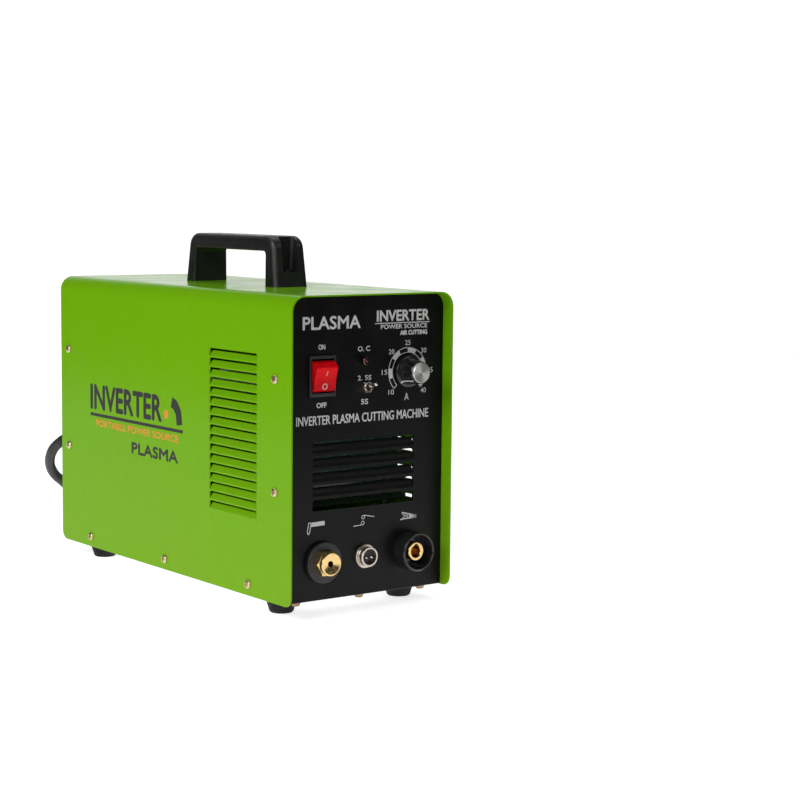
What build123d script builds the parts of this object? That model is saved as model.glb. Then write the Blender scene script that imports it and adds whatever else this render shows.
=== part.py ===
from build123d import *
import math
import os

# A portable inverter plasma cutter: a folded steel cover over a base plate and two end panels, a carrying
# handle on top, the controls and sockets on the front, the fan, mains lead and air inlet at the back.
# Millimetres. The origin is on the floor under the middle of the case, the front faces -Y and +Z is up.

# ---------------------------------------------------------------- case
CASE_LENGTH = 371.0
CASE_WIDTH = 155.0
COVER_HEIGHT = 238.0
FLOOR_GAP = 12.0
COVER_SHEET = 1.2
PANEL_SHEET = 1.5
FOLD_RADIUS = 12.0
LOWER_CORNER_RADIUS = 8.0
FRONT_RECESS = 11.3
REAR_RECESS = 4.5
FIT_GAP = 0.2

HALF_W = CASE_WIDTH / 2
HALF_L = CASE_LENGTH / 2
COVER_Z = FLOOR_GAP
TOP_Z = COVER_Z + COVER_HEIGHT
INNER_X = HALF_W - COVER_SHEET
PANEL_X = INNER_X - FIT_GAP
FRONT_Y = -HALF_L + FRONT_RECESS
REAR_Y = HALF_L - REAR_RECESS
PANEL_Z0 = COVER_Z + 0.3
PANEL_Z1 = TOP_Z - COVER_SHEET - 0.3
BASE_Z0 = PANEL_Z0 + PANEL_SHEET
BASE_Z1 = BASE_Z0 + PANEL_SHEET
FLANGE = 20.0
PANEL_BEND = 1.2
FLANGE_CLEAR = 2.0
HEAD_PROFILE = [(0, 0), (1, 0), (1, 0.4), (0.8, 0.85), (0.45, 1), (0, 1)]
RECESS_ARM, RECESS_SLOT, RECESS_DEPTH = 0.62, 0.17, 0.45

# ---------------------------------------------------------------- cover fasteners and louvres
SCREW_R = 2.0
SCREW_HOLE_R = 2.2
SCREW_HEAD_R = 3.6
SCREW_HEAD_H = 2.2
SCREW_LENGTH = 8.0
END_SCREW_Z = (185.5, 98.7)
FRONT_SCREW_Y = -163.5
REAR_SCREW_Y = 170.6
BASE_SCREW_Y = (-126.0, 2.5, 131.0)
BASE_SCREW_Z = 21.0
PANEL_SCREW_X = (-62.0, -2.0, 59.0)
PANEL_SCREW_Y = (-169.5, 172.0)
PANEL_SCREW_HEAD_H = 3.0

SIDE_LOUVRES = 17
SIDE_LOUVRE_PITCH = 7.67
SIDE_LOUVRE_TOP = 203.3
SIDE_LOUVRE_Y = (-137.8, -68.4)
SIDE_LOUVRE_HEIGHT = 6.4
SIDE_LOUVRE_DEPTH = 3.0
SIDE_LOUVRE_BULGE = 1.0
SIDE_LOUVRE_CORNER = 1.6
FRONT_LOUVRES = 5
FRONT_LOUVRE_PITCH = 11.25
FRONT_LOUVRE_TOP = 136.5
FRONT_LOUVRE_X = (-50.0, 47.5)
FRONT_LOUVRE_HEIGHT = 8.8
FRONT_LOUVRE_DEPTH = 3.0
FRONT_LOUVRE_BULGE = 1.7
FRONT_LOUVRE_CORNER = 2.6
FRONT_LOUVRE_SLIT = 2.1
SIDE_LOUVRE_SLIT = 2.0
LOUVRE_END_GAP = 0.4
LOUVRE_STEPS = 6
LOUVRE_ROOT = 0.5

# ---------------------------------------------------------------- handle and feet
HANDLE_HALF = 71.0
HANDLE_TOP_HALF = 65.5
HANDLE_HEIGHT = 41.5
HANDLE_WIDTH = 31.0
HANDLE_BASE_WIDTH = 33.6
HANDLE_GRIP = 12.5
HANDLE_GAP_HALF = 55.5
HANDLE_CORNER = 11.0
HANDLE_EDGE = 5.0
HANDLE_LIP = 1.5
HANDLE_GAP_CORNER = 4.0
POCKET_WIDTH = 15.0
POCKET_FLOOR = 12.5
POCKET_CORNER = 3.0
POCKET_BACK = 59.5
HANDLE_SCREW_Y = 63.7
HANDLE_SCREW_R = 2.5
HANDLE_SCREW_HEAD_R = 3.9
HANDLE_SCREW_HEAD_H = 1.8
HANDLE_SCREW_REACH = 9.0
HANDLE_NUT = (8.0, 4.0)
NUT_BITE = 0.02

FOOT_X = 57.5
FOOT_Y = 143.0
FOOT_TOP_R = 13.5
FOOT_BOTTOM_R = 9.6
FOOT_BORE_R = 5.2
FOOT_BORE_DEPTH = 7.0
FOOT_EDGE = 1.0
FOOT_TOP_BAND = 0.5
FOOT_SCREW_HEAD = (4.2, 2.8)
FOOT_NUT = (7.0, 3.2)

# ---------------------------------------------------------------- front controls
# Outlines are (radius, height) from the front panel's face, outward.
ROCKER_X, ROCKER_Z = -42.0, 187.4
ROCKER_BEZEL = (24.4, 31.8, 2.0)
ROCKER_BEZEL_EDGE = 0.7
ROCKER_BODY = (22.8, 28.8, 24.0)
ROCKER_CAVITY = (20.8, 26.6, 12.0)
ROCKER_CUTOUT_GAP = 0.1
PADDLE_WIDTH = 20.0
PADDLE_SIDE = [(-9.2, 9.1), (-8.4, 0), (-9.2, -9.1), (-5, -12), (0, -12), (4, -7), (4, 7), (0, 12), (-5, 12)]
PADDLE_EDGE = 1.0
ROCKER_TILT = 13.0
ROCKER_PIVOT_DEPTH = 3.0
TRUNNION_R = 1.5
TERMINAL = (0.8, 9.0, 6.2)
TERMINAL_X, TERMINAL_Z = 5.5, 7.0

LAMP_X, LAMP_Z = -3.5, 197.6
LAMP_HOLE_R = 3.0
LAMP_BEZEL = [(2.1, 6.4), (2.9, 6.4), (3.3, 5.9), (3.3, 0), (2.9, 0), (2.9, -7), (2.1, -7)]
LAMP_LENS = [(0, 5.9), (1.0, 5.7), (1.7, 5.1), (2.05, 4.2), (2.05, -6), (0, -6)]
LAMP_NUT = (7.0, 2.9, 1.5)

TOGGLE_X, TOGGLE_Z = -1.0, 176.8
TOGGLE_TILT = 13.0
TOGGLE_PIVOT = 0.5
TOGGLE_BLOCK = (8.0, 10.0, 13.0)
TOGGLE_BORE = [(0, 6), (2.75, 6), (2.7, 5.2), (2.1, -2), (0, -2)]
TOGGLE_LUG = (2.4, 4.0, 0.8)
TOGGLE_LUG_Z = (-4.5, 0, 4.5)
TOGGLE_NUT = (8.4, 4.8)
BUSHING_R = 3.15
BUSHING_PROUD = 5.2
LEVER = [(0, 0), (1.05, 0), (1.5, 14.4), (0, 14.4)]
LEVER_PIVOT_R = 1.6
LEVER_TIP_R = 1.5

KNOB_X, KNOB_Z = 40.7, 187.3
KNOB_START = -135.0
SHAFT_R = 3.0
SHAFT_PROUD, SHAFT_DEPTH = 14.0, 7.0
RUNNING = 0.08
POT_BODY = (8.5, 10.0)
POT_BUSHING = (3.5, 4.0)
POT_HOLE_R = 3.6
POT_LUG = (2.0, 1.0, 8.0)
POT_LUG_X = (-5, 0, 5)
POT_NUT = (11.0, 2.0)
KNOB_SIDE = [
    (12.8, 1.0), (12.8, 2.6), (12.3, 3.1), (10.9, 3.6), (10.2, 6), (9.4, 12), (8.95, 16.2), (8.6, 16.9),
]
KNOB_RECESS = [(0, 16.4), (8.2, 16.4), (8.2, 16.9)]
KNOB_HOLLOW = [(8.2, 1.0), (8.2, 5.5), (SHAFT_R, 5.5), (SHAFT_R, 14), (0, 14)]
KNOB_CAP = [(0, 16.4), (8.15, 16.4), (8.15, 18.3), (7.6, 18.9), (0, 18.9)]
POINTER = [
    (12.5, 3.3), (11.1, 3.9), (10.45, 6.05), (9.65, 12.05), (9.2, 16.2), (8.4, 16.0), (8.9, 12), (9.7, 6),
    (10.4, 3.4), (12.2, 2.8),
]
POINTER_WIDTH = 1.0

# ---------------------------------------------------------------- sockets
TORCH_X, TORCH_Z = -40.5, 42.5
TORCH_HOLE_R = 12.6
TORCH_INSULATOR = [(8.1, -9), (12.4, -9), (12.4, 0), (16.2, 0), (16.2, 3.6), (15.6, 4.2), (8.1, 4.2)]
CONNECTOR_AF = 18.6
CONNECTOR_HEX = (4.2, 9.4)
CONNECTOR_HEX_TRIM = [(0, 1), (11, 1), (11, 7.9), (9.2, 9.4), (0, 9.4)]
CONNECTOR_NOSE = [(0, 9.2), (9.2, 9.2), (9.2, 12.3), (8.6, 12.9), (0, 12.9)]
CONNECTOR_SHANK = (8.0, 22.0)
CONNECTOR_TAIL = 40.0
CONNECTOR_BORE_R = 2.5
CONNECTOR_CONE = [(0, 14), (9.0, 14), (8.0, 12.9), (CONNECTOR_BORE_R, 11.2), (0, 11.2)]

TRIGGER_X, TRIGGER_Z = 0.0, 43.1
TRIGGER_HOLE_R = 8.0
TRIGGER_SHELL = [
    (6.4, -9), (7.9, -9), (7.9, 0), (9.5, 0), (9.5, 2.0), (9.1, 2.4), (7.9, 2.4), (7.6, 2.8), (7.9, 3.2),
    (7.9, 6.9), (7.6, 7.2), (6.4, 7.2),
]
TRIGGER_INSERT = (6.38, 3.0, 10.0)
TRIGGER_KEY = (2.2, 6.8, 1.5)
TRIGGER_KEY_Z = 5.3
PIN_X, PIN_Z = 2.6, -0.6
PIN_R = 1.0
PIN_TIP = [(0, 7.0), (0.6, 6.8), (PIN_R, 6.2), (PIN_R, -14), (0, -14)]

WORK_X, WORK_Z = 44.0, 43.4
WORK_HOLE_R = 12.6
WORK_COLLAR = [
    (7.55, -9), (12.4, -9), (12.4, 0), (15.5, 0), (15.5, 12.9), (14.7, 13.9), (13.9, 13.9), (13.4, 13.3),
    (13.4, 2), (7.55, 2),
]
WORK_BORE_R = 4.6
WORK_CONTACT = [
    (0, -22), (7.5, -22), (7.5, 9.1), (7.0, 9.6), (5.4, 9.6), (WORK_BORE_R, 8.8), (WORK_BORE_R, -14),
    (0, -14),
]
WORK_SLOT = (3.0, 10.0, 3.0)
SOCKET_SLEEVE = 9.0
# (across flats, hole radius, thickness)
TORCH_NUT = (26.0, 8.02, 5.0)
TRIGGER_NUT = (20.0, 7.92, 2.5)
WORK_NUT = (26.0, 7.52, 5.0)

# ---------------------------------------------------------------- inside
CONTROL_BOARD_Y = -132.0
CONTROL_BOARD_HALF = 64.0
CONTROL_BOARD_Z = (90.0, 236.0)
CONTROL_FOOT_X = 72.5
CONTROL_FOOT_Z = (78.0, 104.0)
# (x, z, width, height) of each chip
CONTROL_CHIPS = (
    (-35, 160, 22, 12), (0, 205, 30, 10), (34, 165, 18, 18), (10, 150, 12, 26), (-38, 215, 26, 8),
)
CHIP_HEIGHT = 5.0

BOARD = 1.6
POWER_BOARD_HALF = 68.0
POWER_BOARD_Y = (-130.0, 140.0)
POWER_BOARD_Z = 112.0
BOARD_TOP = POWER_BOARD_Z + BOARD
STANDOFF_X = 62.0
STANDOFF_Y = (-120.0, 40.0, 130.0)
STANDOFF_AF = 8.0
STANDOFF_STUD_R = 1.6
STANDOFF_HEAD = (3.2, 2.0)

SINK_X = (12.0, 56.0)
SINK_Y = (-60.0, 118.0)
SINK_BASE = 6.0
SINK_HEIGHT = 52.0
SINK_FINS = 8
FIN = 1.6
CAN_X = (-40.0, 0.0, 40.0)
CAN_Y = -103.0
CAN_R, CAN_HEIGHT, CAN_EDGE = 15.0, 46.0, 1.5
RECTIFIER = (26.0, 20.0, 8.0)
RECTIFIER_Y = -74.0
RECTIFIER_CORNER = 4.0

TRANSFORMER_X, TRANSFORMER_Y = -37.0, -10.0
CORE_SIZE = (60.0, 27.0, 54.0)
CORE_WINDOW_X = (9.5, 23.0)
CORE_WINDOW_HALF = 19.0
WINDING_SIZE = (44.0, 52.0, 36.0)
WINDING_HOLE = (20.0, 28.4)
WINDING_CORNER = 9.0
INDUCTOR_X, INDUCTOR_Y = 40.0, -12.0
INDUCTOR_Z = BASE_Z1 + 17.0
INDUCTOR_R = (15.0, 27.0)
INDUCTOR_HALF = 11.0
INDUCTOR_TURNS = 16
WIRE = 3.0
WIRE_WIDTH = 3.6
WIRE_GAP = 0.1

# ---------------------------------------------------------------- air
VALVE_X = 30.0
VALVE_HALF = 13.0
VALVE_Y = (70.0, 102.0)
VALVE_TOP = BASE_Z1 + 26.0
VALVE_PORT_Z = 27.0
VALVE_PORT_REACH = 8.0
VALVE_COIL = (24.0, 28.0, 34.0)
VALVE_COIL_CORNER = 3.0
COIL_CAP = 4.0
SEAT_DEPTH = 10.0
SEAT_Z = VALVE_TOP - SEAT_DEPTH
VALVE_BORE_TOP = VALVE_TOP + VALVE_COIL[2] - COIL_CAP
PLUNGER_R = 4.0
PLUNGER_LENGTH = 28.0
SPRING_R = (2.4, 3.2)
INLET_X, INLET_Z = 30.0, 60.0
INLET_AF, INLET_HEX = 20.0, 12.1
INLET_TRIM = [(0, 0), (12, 0), (12, 11), (9.6, 12.1), (0, 12.1)]
INLET_BORE_R = 5.9
INLET_THREAD = (7.0, 12.0)
INLET_TAIL = 26.0
INLET_NUT = (6.9, 4.0)
AIRWAY_R = 2.5
HOSE_R = 4.0
HOSE_BEND = 10.0

# ---------------------------------------------------------------- fan
FAN_Z = 172.0
FAN_SIZE = 119.5
FAN_DEPTH = 25.0
FAN_CORNER = 6.0
FAN_PITCH = 105.0
FAN_OPENING_R = 57.0
FAN_ARM = (16.0, 3.0, 6.0)
FAN_BOSS = (20.0, 4.0)
FAN_SHAFT_R = 1.5
FAN_HUB_R = 19.5
FAN_BLADES = 7
BLADE = (36.0, 1.6, 26.0)
BLADE_MIDDLE, BLADE_PITCH = 37.0, 35.0
ROTOR_GAP = 5.0
GUARD_WIRE = 1.0
GUARD_RINGS = (14, 25, 36, 47, 57)
GUARD_RING_Y, GUARD_SPOKE_Y = 2.6, 1.2
GUARD_BOSS = (8.0, 1.8, 3.6)
GUARD_EYE = (4.2, 0.2, 2.2)
FAN_SCREW = (3.4, 2.0, 12.0)

# ---------------------------------------------------------------- mains lead
CORD_R = 4.75
CORD_FLOOR = CORD_R + 0.05
ARC_SHARE = 0.45
GLAND_X, GLAND_Z = -50.5, 98.5
GLAND_MOUTH_Y = 200.0
GLAND_AF, GLAND_HEX = 22.0, 4.0
GLAND_DOME = [(10.6, 3.9), (10.6, 9.0), (9.6, 12.5)]
GLAND_MOUTH_R = 7.6
GLAND_NECK = (8.2, 12.0)
GLAND_HOLE_R = 8.4
GLAND_NUT = (8.1, 5.0)
RELIEF_BACK, RELIEF_FRONT = 4.0, 6.0
RELIEF_RADII = (7.0, 6.2, 5.8)
CORD_GAP = 0.05
LEAD_ROUTE = [
    (GLAND_X, GLAND_MOUTH_Y, GLAND_Z),
    (GLAND_X, 213, GLAND_Z),
    (-53, 232, 95),
    (-55.5, 248, 85),
    (-52, 262.5, 70.5),
    (-41.5, 274, 57),
    (-25.5, 281, 46),
    (-13, 282.5, 32.5),
    (-1, 277.5, 18),
    (13.5, 270, 9),
    (32, 265, CORD_FLOOR),
]
COIL_X, COIL_Y = 74.2, 306.2
COIL_OUTER_R = 59.0
COIL_INNER_R = COIL_OUTER_R - 2 * CORD_R
PLUG_R = 18.5
PLUG_Z = PLUG_R + 0.1
# (radius, distance from the cord's end)
PLUG_PROFILE = [
    (0, 0), (6.2, 0), (7.5, 12), (11, 22), (PLUG_R, 28), (PLUG_R, 44), (17.6, 45), (17.6, 54), (0, 54),
]
PLUG_PIN_Y, PLUG_PIN_R, PLUG_PIN_LENGTH = 9.5, 2.4, 18.0
COIL_BASE = CORD_FLOOR - CORD_R
COIL_CREST = COIL_BASE + 8 * CORD_R
TIE_TURN = 20.0
TIE_WIDTH = 10.0
TIE_OUT, TIE_IN, TIE_FLOOR = 0.8, -0.2, 1.0
TAIL_ROUTE = [
    (20.7, 281.3, CORD_FLOOR + 6 * CORD_R),
    (28, 265, 34),
    (35.7, 249.8, 31.5),
    (46.7, 237.5, 25.5),
    (60.7, 228.8, 21.2),
    (76.6, 224.3, PLUG_Z),
    (92.6, 224.3, PLUG_Z),
]


# ---------------------------------------------------------------- helpers
def block(x0, x1, y0, y1, z0, z1):
    """A block between two corners."""
    centre = Pos((x0 + x1) / 2, (y0 + y1) / 2, (z0 + z1) / 2)
    return centre * Box(x1 - x0, y1 - y0, z1 - z0)


def rod_x(y, z, r, x0, x1):
    """A round bar along X."""
    return Pos((x0 + x1) / 2, y, z) * Rot(0, 90, 0) * Cylinder(r, x1 - x0)


def rod_y(x, z, r, y0, y1):
    """A round bar along Y."""
    return Pos(x, (y0 + y1) / 2, z) * Rot(90, 0, 0) * Cylinder(r, y1 - y0)


def rod_z(x, y, r, z0, z1):
    """A round bar along Z."""
    return Pos(x, y, (z0 + z1) / 2) * Cylinder(r, z1 - z0)


def prism_x(points, x0, x1):
    """An outline of (y, z) points, drawn out along X."""
    return extrude(Plane.YZ.offset(x0) * Polygon(*points, align=None), x1 - x0, dir=(1, 0, 0))


def prism_y(points, y0, y1):
    """An outline of (x, z) points, drawn out along Y."""
    return extrude(Plane.XZ.offset(-y0) * Polygon(*points, align=None), y1 - y0, dir=(0, 1, 0))


def turned_y(x, z, points):
    """A solid of revolution about a line along Y, from (radius, y) points."""
    return Pos(x, 0, z) * revolve(Polygon(*points, align=None), Axis.Y)


def turned_z(x, y, points):
    """A solid of revolution about a line along Z, from (radius, z) points."""
    return Pos(x, y, 0) * revolve(Plane.XZ * Polygon(*points, align=None), Axis.Z)


def front(height):
    """The y of a point so far out from the front panel's face."""
    return FRONT_Y - height


def turned_front(x, z, points):
    """A solid of revolution on the front panel, from (radius, height) points."""
    return turned_y(x, z, [(r, front(h)) for r, h in points])


def hex_y(x, z, across_flats, y0, y1):
    """A hexagonal bar along Y."""
    outline = RegularPolygon(across_flats / 2, 6, major_radius=False)
    return Pos(x, 0, z) * extrude(Plane.XZ.offset(-y0) * outline, y1 - y0, dir=(0, 1, 0))


def nut_y(x, z, across_flats, hole_r, y0, y1):
    """A hexagonal nut on a line along Y."""
    return hex_y(x, z, across_flats, y0, y1) - rod_y(x, z, hole_r, y0 - 1, y1 + 1)


def pan_screw(head_r, head_h, shank_r, shank_length):
    """A cross-recess pan head screw, its seat on z = 0 and its head up."""
    screw = turned_z(0, 0, [(r * head_r, h * head_h) for r, h in HEAD_PROFILE])
    screw += rod_z(0, 0, shank_r, -shank_length, 0.1)
    arm, slot, depth = RECESS_ARM * head_r, RECESS_SLOT * head_r, RECESS_DEPTH * head_h
    screw -= block(-arm, arm, -slot, slot, depth, head_h + 1)
    screw -= block(-slot, slot, -arm, arm, depth, head_h + 1)
    return screw


def cord_tube(points):
    """A cord's tube: straight runs joined by tangent arcs, each about as large as its two runs allow."""
    vectors = [Vector(p) for p in points]
    runs = [b - a for a, b in zip(vectors, vectors[1:])]
    radii = []
    for before, after in zip(runs, runs[1:]):
        half_turn = math.radians(before.get_angle(after)) / 2
        radii.append(ARC_SHARE * min(before.length, after.length) / math.tan(half_turn))
    path = FilletPolyline(*vectors, radius=radii)
    section = Plane(origin=vectors[0], z_dir=runs[0]) * Circle(CORD_R)
    tube = sweep(section, path=path)
    share = tube.volume / (math.pi * CORD_R ** 2 * path.length)
    print("cord radii", [round(r, 1) for r in radii])
    print("length", round(path.length, 1), "volume share", round(share, 4))
    return tube


# ---------------------------------------------------------------- casing
def slat_outline(height, slit, depth, bulge, sheet):
    """(depth, z) outline of a slat below its louvre's top edge: flush at the foot, pressed in at the top."""
    outer = []
    for i in range(LOUVRE_STEPS + 1):
        up = i / LOUVRE_STEPS
        outer.append((depth * up ** bulge, -height + up * (height - slit)))
    inner = [(d + sheet, z) for d, z in outer[::-1][:-1]]
    return outer + inner + [(sheet, -height - LOUVRE_ROOT)]


def side_louvres(side):
    """The windows and pressed-in slats of one side wall."""
    slat = slat_outline(
        SIDE_LOUVRE_HEIGHT, SIDE_LOUVRE_SLIT, SIDE_LOUVRE_DEPTH, SIDE_LOUVRE_BULGE, COVER_SHEET,
    )
    y0, y1 = SIDE_LOUVRE_Y
    x0, x1 = sorted((side * (INNER_X - 0.01), side * (HALF_W + 1)))
    windows, slats = [], []
    for i in range(SIDE_LOUVRES):
        top = SIDE_LOUVRE_TOP - i * SIDE_LOUVRE_PITCH
        window = block(x0, x1, y0, y1, top - SIDE_LOUVRE_HEIGHT, top)
        windows.append(fillet(window.edges().filter_by(Axis.X).group_by(Axis.Z)[-1], SIDE_LOUVRE_CORNER))
        placed = [(side * (HALF_W - d), top + z) for d, z in slat]
        slats.append(prism_y(placed, y0 + LOUVRE_END_GAP, y1 - LOUVRE_END_GAP))
    return windows, slats


def cover_shell():
    outer = block(-HALF_W, HALF_W, -HALF_L, HALF_L, COVER_Z, TOP_Z)
    outer = fillet(outer.edges().filter_by(Axis.Y).group_by(Axis.Z)[-1], FOLD_RADIUS)
    inner = block(-INNER_X, INNER_X, -HALF_L - 1, HALF_L + 1, COVER_Z - 1, TOP_Z - COVER_SHEET)
    inner = fillet(inner.edges().filter_by(Axis.Y).group_by(Axis.Z)[-1], FOLD_RADIUS - COVER_SHEET)
    shell = outer - inner
    shell = fillet(shell.edges().filter_by(Axis.X).group_by(Axis.Z)[0], LOWER_CORNER_RADIUS)
    for side in (-1, 1):
        windows, slats = side_louvres(side)
        shell -= windows
        shell += slats
    for y, z in cover_screw_places():
        shell -= rod_x(y, z, SCREW_HOLE_R, -HALF_W - 1, HALF_W + 1)
    for y in (-HANDLE_SCREW_Y, HANDLE_SCREW_Y):
        shell -= rod_z(0, y, HANDLE_SCREW_R + 0.3, TOP_Z - COVER_SHEET - 1, TOP_Z + 1)
    return shell


def cover_screw_places():
    """(y, z) of the seven screws on each side."""
    places = [(y, z) for y in (FRONT_SCREW_Y, REAR_SCREW_Y) for z in END_SCREW_Z]
    return places + [(y, BASE_SCREW_Z) for y in BASE_SCREW_Y]


def cover_screws():
    screw = pan_screw(SCREW_HEAD_R, SCREW_HEAD_H, SCREW_R, SCREW_LENGTH)
    screws = []
    for side in (-1, 1):
        for y, z in cover_screw_places():
            screws.append(Pos(side * HALF_W, y, z) * Rot(0, 90 * side, 0) * screw)
    return screws


def panel_screws():
    """The screws that hold the front and rear panels to the base plate, heads under the case."""
    screw = Rot(180, 0, 0) * pan_screw(SCREW_HEAD_R, PANEL_SCREW_HEAD_H, SCREW_R, SCREW_LENGTH)
    return [Pos(x, y, PANEL_Z0) * screw for x in PANEL_SCREW_X for y in PANEL_SCREW_Y]


def base_plate():
    y0, y1 = FRONT_Y + PANEL_SHEET + FIT_GAP, REAR_Y - PANEL_SHEET - FIT_GAP
    plate = block(-PANEL_X, PANEL_X, y0, y1, BASE_Z0, BASE_Z1)
    wall_y = (FRONT_Y + FLANGE + FLANGE_CLEAR, REAR_Y - FLANGE - FLANGE_CLEAR)
    for side in (-1, 1):
        x0, x1 = sorted((side * PANEL_X, side * (PANEL_X - PANEL_SHEET)))
        plate += block(x0, x1, *wall_y, BASE_Z0, BASE_Z1 + FLANGE)
        for y in BASE_SCREW_Y:
            plate -= rod_x(y, BASE_SCREW_Z, SCREW_HOLE_R, x0 - 1, x1 + 1)
    for x in PANEL_SCREW_X:
        for y in PANEL_SCREW_Y:
            plate -= rod_z(x, y, SCREW_HOLE_R, BASE_Z0 - 1, BASE_Z1 + 1)
    for x, y in foot_places():
        plate -= rod_z(x, y, SCREW_HOLE_R, BASE_Z0 - 1, BASE_Z1 + 1)
    return plate


def end_panel(face_y, inward, screw_y, panel_screw_y):
    """A folded panel: its face at face_y, its side and bottom flanges turned inward."""
    sheet = inward * PANEL_SHEET
    y0, y1 = sorted((face_y, face_y + sheet))
    panel = block(-PANEL_X, PANEL_X, y0, y1, PANEL_Z0, PANEL_Z1)
    corner = FOLD_RADIUS - COVER_SHEET - FIT_GAP
    panel = fillet(panel.edges().filter_by(Axis.Y).group_by(Axis.Z)[-1], corner)
    y0, y1 = sorted((face_y, face_y + inward * FLANGE))
    for side in (-1, 1):
        x0, x1 = sorted((side * PANEL_X, side * (PANEL_X - PANEL_SHEET)))
        panel += block(x0, x1, y0, y1, BASE_Z1 + FLANGE_CLEAR, PANEL_Z1 - FOLD_RADIUS - FLANGE_CLEAR)
        for z in END_SCREW_Z:
            panel -= rod_x(screw_y, z, SCREW_HOLE_R, x0 - 1, x1 + 1)
    panel += block(-PANEL_X, PANEL_X, y0, y1, PANEL_Z0, BASE_Z0)
    along_x = panel.edges().filter_by(Axis.X)
    bend = along_x.filter_by_position(Axis.Z, PANEL_Z0 - 0.1, PANEL_Z0 + 0.1)
    outer_bend = bend.sort_by(Axis.Y)[0 if inward > 0 else -1]
    panel = fillet(outer_bend, PANEL_BEND)
    for x in PANEL_SCREW_X:
        panel -= rod_z(x, panel_screw_y, SCREW_HOLE_R, PANEL_Z0 - 1, BASE_Z0 + 1)
    for x, y in foot_places():
        if y * face_y > 0:
            panel -= rod_z(x, y, FOOT_TOP_R + FIT_GAP, PANEL_Z0 - 1, BASE_Z0)
    return panel


def front_louvres():
    """The front panel's windows, and a slat in each but the lowest, which is open."""
    slat = slat_outline(
        FRONT_LOUVRE_HEIGHT, FRONT_LOUVRE_SLIT, FRONT_LOUVRE_DEPTH, FRONT_LOUVRE_BULGE, PANEL_SHEET,
    )
    x0, x1 = FRONT_LOUVRE_X
    windows, slats = [], []
    for i in range(FRONT_LOUVRES):
        top = FRONT_LOUVRE_TOP - i * FRONT_LOUVRE_PITCH
        window = block(x0, x1, front(1), FRONT_Y + PANEL_SHEET + 0.01, top - FRONT_LOUVRE_HEIGHT, top)
        windows.append(fillet(window.edges().filter_by(Axis.Y).group_by(Axis.Z)[-1], FRONT_LOUVRE_CORNER))
        placed = [(FRONT_Y + d, top + z) for d, z in slat]
        if i < FRONT_LOUVRES - 1:
            end0, end1 = x0 + LOUVRE_END_GAP, x1 - LOUVRE_END_GAP
            low, high = top - FRONT_LOUVRE_PITCH, top - FRONT_LOUVRE_SLIT
            trim = block(end0, end1, front(1), FRONT_Y + FLANGE, low, high)
            trim = fillet(trim.edges().filter_by(Axis.Y).group_by(Axis.Z)[-1], FRONT_LOUVRE_CORNER)
            slats.append(prism_x(placed, end0, end1) & trim)
    return windows, slats


def front_panel():
    panel = end_panel(FRONT_Y, 1, FRONT_SCREW_Y, PANEL_SCREW_Y[0])
    windows, slats = front_louvres()
    panel -= windows
    panel += slats
    y0, y1 = front(1), FRONT_Y + PANEL_SHEET + 1
    half_w, half_h = ROCKER_BODY[0] / 2 + ROCKER_CUTOUT_GAP, ROCKER_BODY[1] / 2 + ROCKER_CUTOUT_GAP
    panel -= block(ROCKER_X - half_w, ROCKER_X + half_w, y0, y1, ROCKER_Z - half_h, ROCKER_Z + half_h)
    for x, z, r in (
        (LAMP_X, LAMP_Z, LAMP_HOLE_R), (TOGGLE_X, TOGGLE_Z, BUSHING_R + 0.1), (KNOB_X, KNOB_Z, POT_HOLE_R),
        (TORCH_X, TORCH_Z, TORCH_HOLE_R), (TRIGGER_X, TRIGGER_Z, TRIGGER_HOLE_R),
        (WORK_X, WORK_Z, WORK_HOLE_R),
    ):
        panel -= rod_y(x, z, r, y0, y1)
    return panel


def fan_corners():
    """(x, z) of the fan's four screws."""
    half = FAN_PITCH / 2
    return [(sx * half, FAN_Z + sz * half) for sx in (-1, 1) for sz in (-1, 1)]


def rear_panel():
    panel = end_panel(REAR_Y, -1, REAR_SCREW_Y, PANEL_SCREW_Y[1])
    y0, y1 = REAR_Y - PANEL_SHEET - 1, REAR_Y + 1
    panel -= rod_y(0, FAN_Z, FAN_OPENING_R, y0, y1)
    for x, z in fan_corners():
        panel -= rod_y(x, z, SCREW_HOLE_R, y0, y1)
    panel -= rod_y(GLAND_X, GLAND_Z, GLAND_HOLE_R, y0, y1)
    panel -= rod_y(INLET_X, INLET_Z, INLET_THREAD[0] + FIT_GAP, y0, y1)
    return panel


# ---------------------------------------------------------------- handle and feet
def handle():
    top = TOP_Z + HANDLE_HEIGHT
    body = prism_x([
        (-HANDLE_HALF, TOP_Z), (HANDLE_HALF, TOP_Z), (HANDLE_TOP_HALF, top), (-HANDLE_TOP_HALF, top),
    ], -HANDLE_BASE_WIDTH / 2, HANDLE_BASE_WIDTH / 2)
    body = fillet(body.edges().filter_by(Axis.X).group_by(Axis.Z)[-1], HANDLE_CORNER)
    body &= prism_y([
        (-HANDLE_BASE_WIDTH / 2, TOP_Z), (HANDLE_BASE_WIDTH / 2, TOP_Z), (HANDLE_WIDTH / 2, top),
        (-HANDLE_WIDTH / 2, top),
    ], -HANDLE_HALF, HANDLE_HALF)
    rim = side_edges(body, HANDLE_HALF + 1)
    body = fillet(rim, HANDLE_EDGE) - handle_gap()
    body = fillet(side_edges(body, HANDLE_GAP_HALF + 1), HANDLE_LIP)
    for end in (-1, 1):
        y0, y1 = sorted((end * POCKET_BACK, end * (HANDLE_HALF + 2)))
        pocket = block(-POCKET_WIDTH / 2, POCKET_WIDTH / 2, y0, y1, TOP_Z + POCKET_FLOOR, top + 2)
        inner = pocket.edges().filter_by(Axis.Z).group_by(Axis.Y)[0 if end > 0 else -1]
        body -= fillet(inner, POCKET_CORNER)
        body -= rod_z(0, end * HANDLE_SCREW_Y, HANDLE_SCREW_R + 0.1, TOP_Z - 1, TOP_Z + POCKET_FLOOR + 1)
    return body


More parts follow.
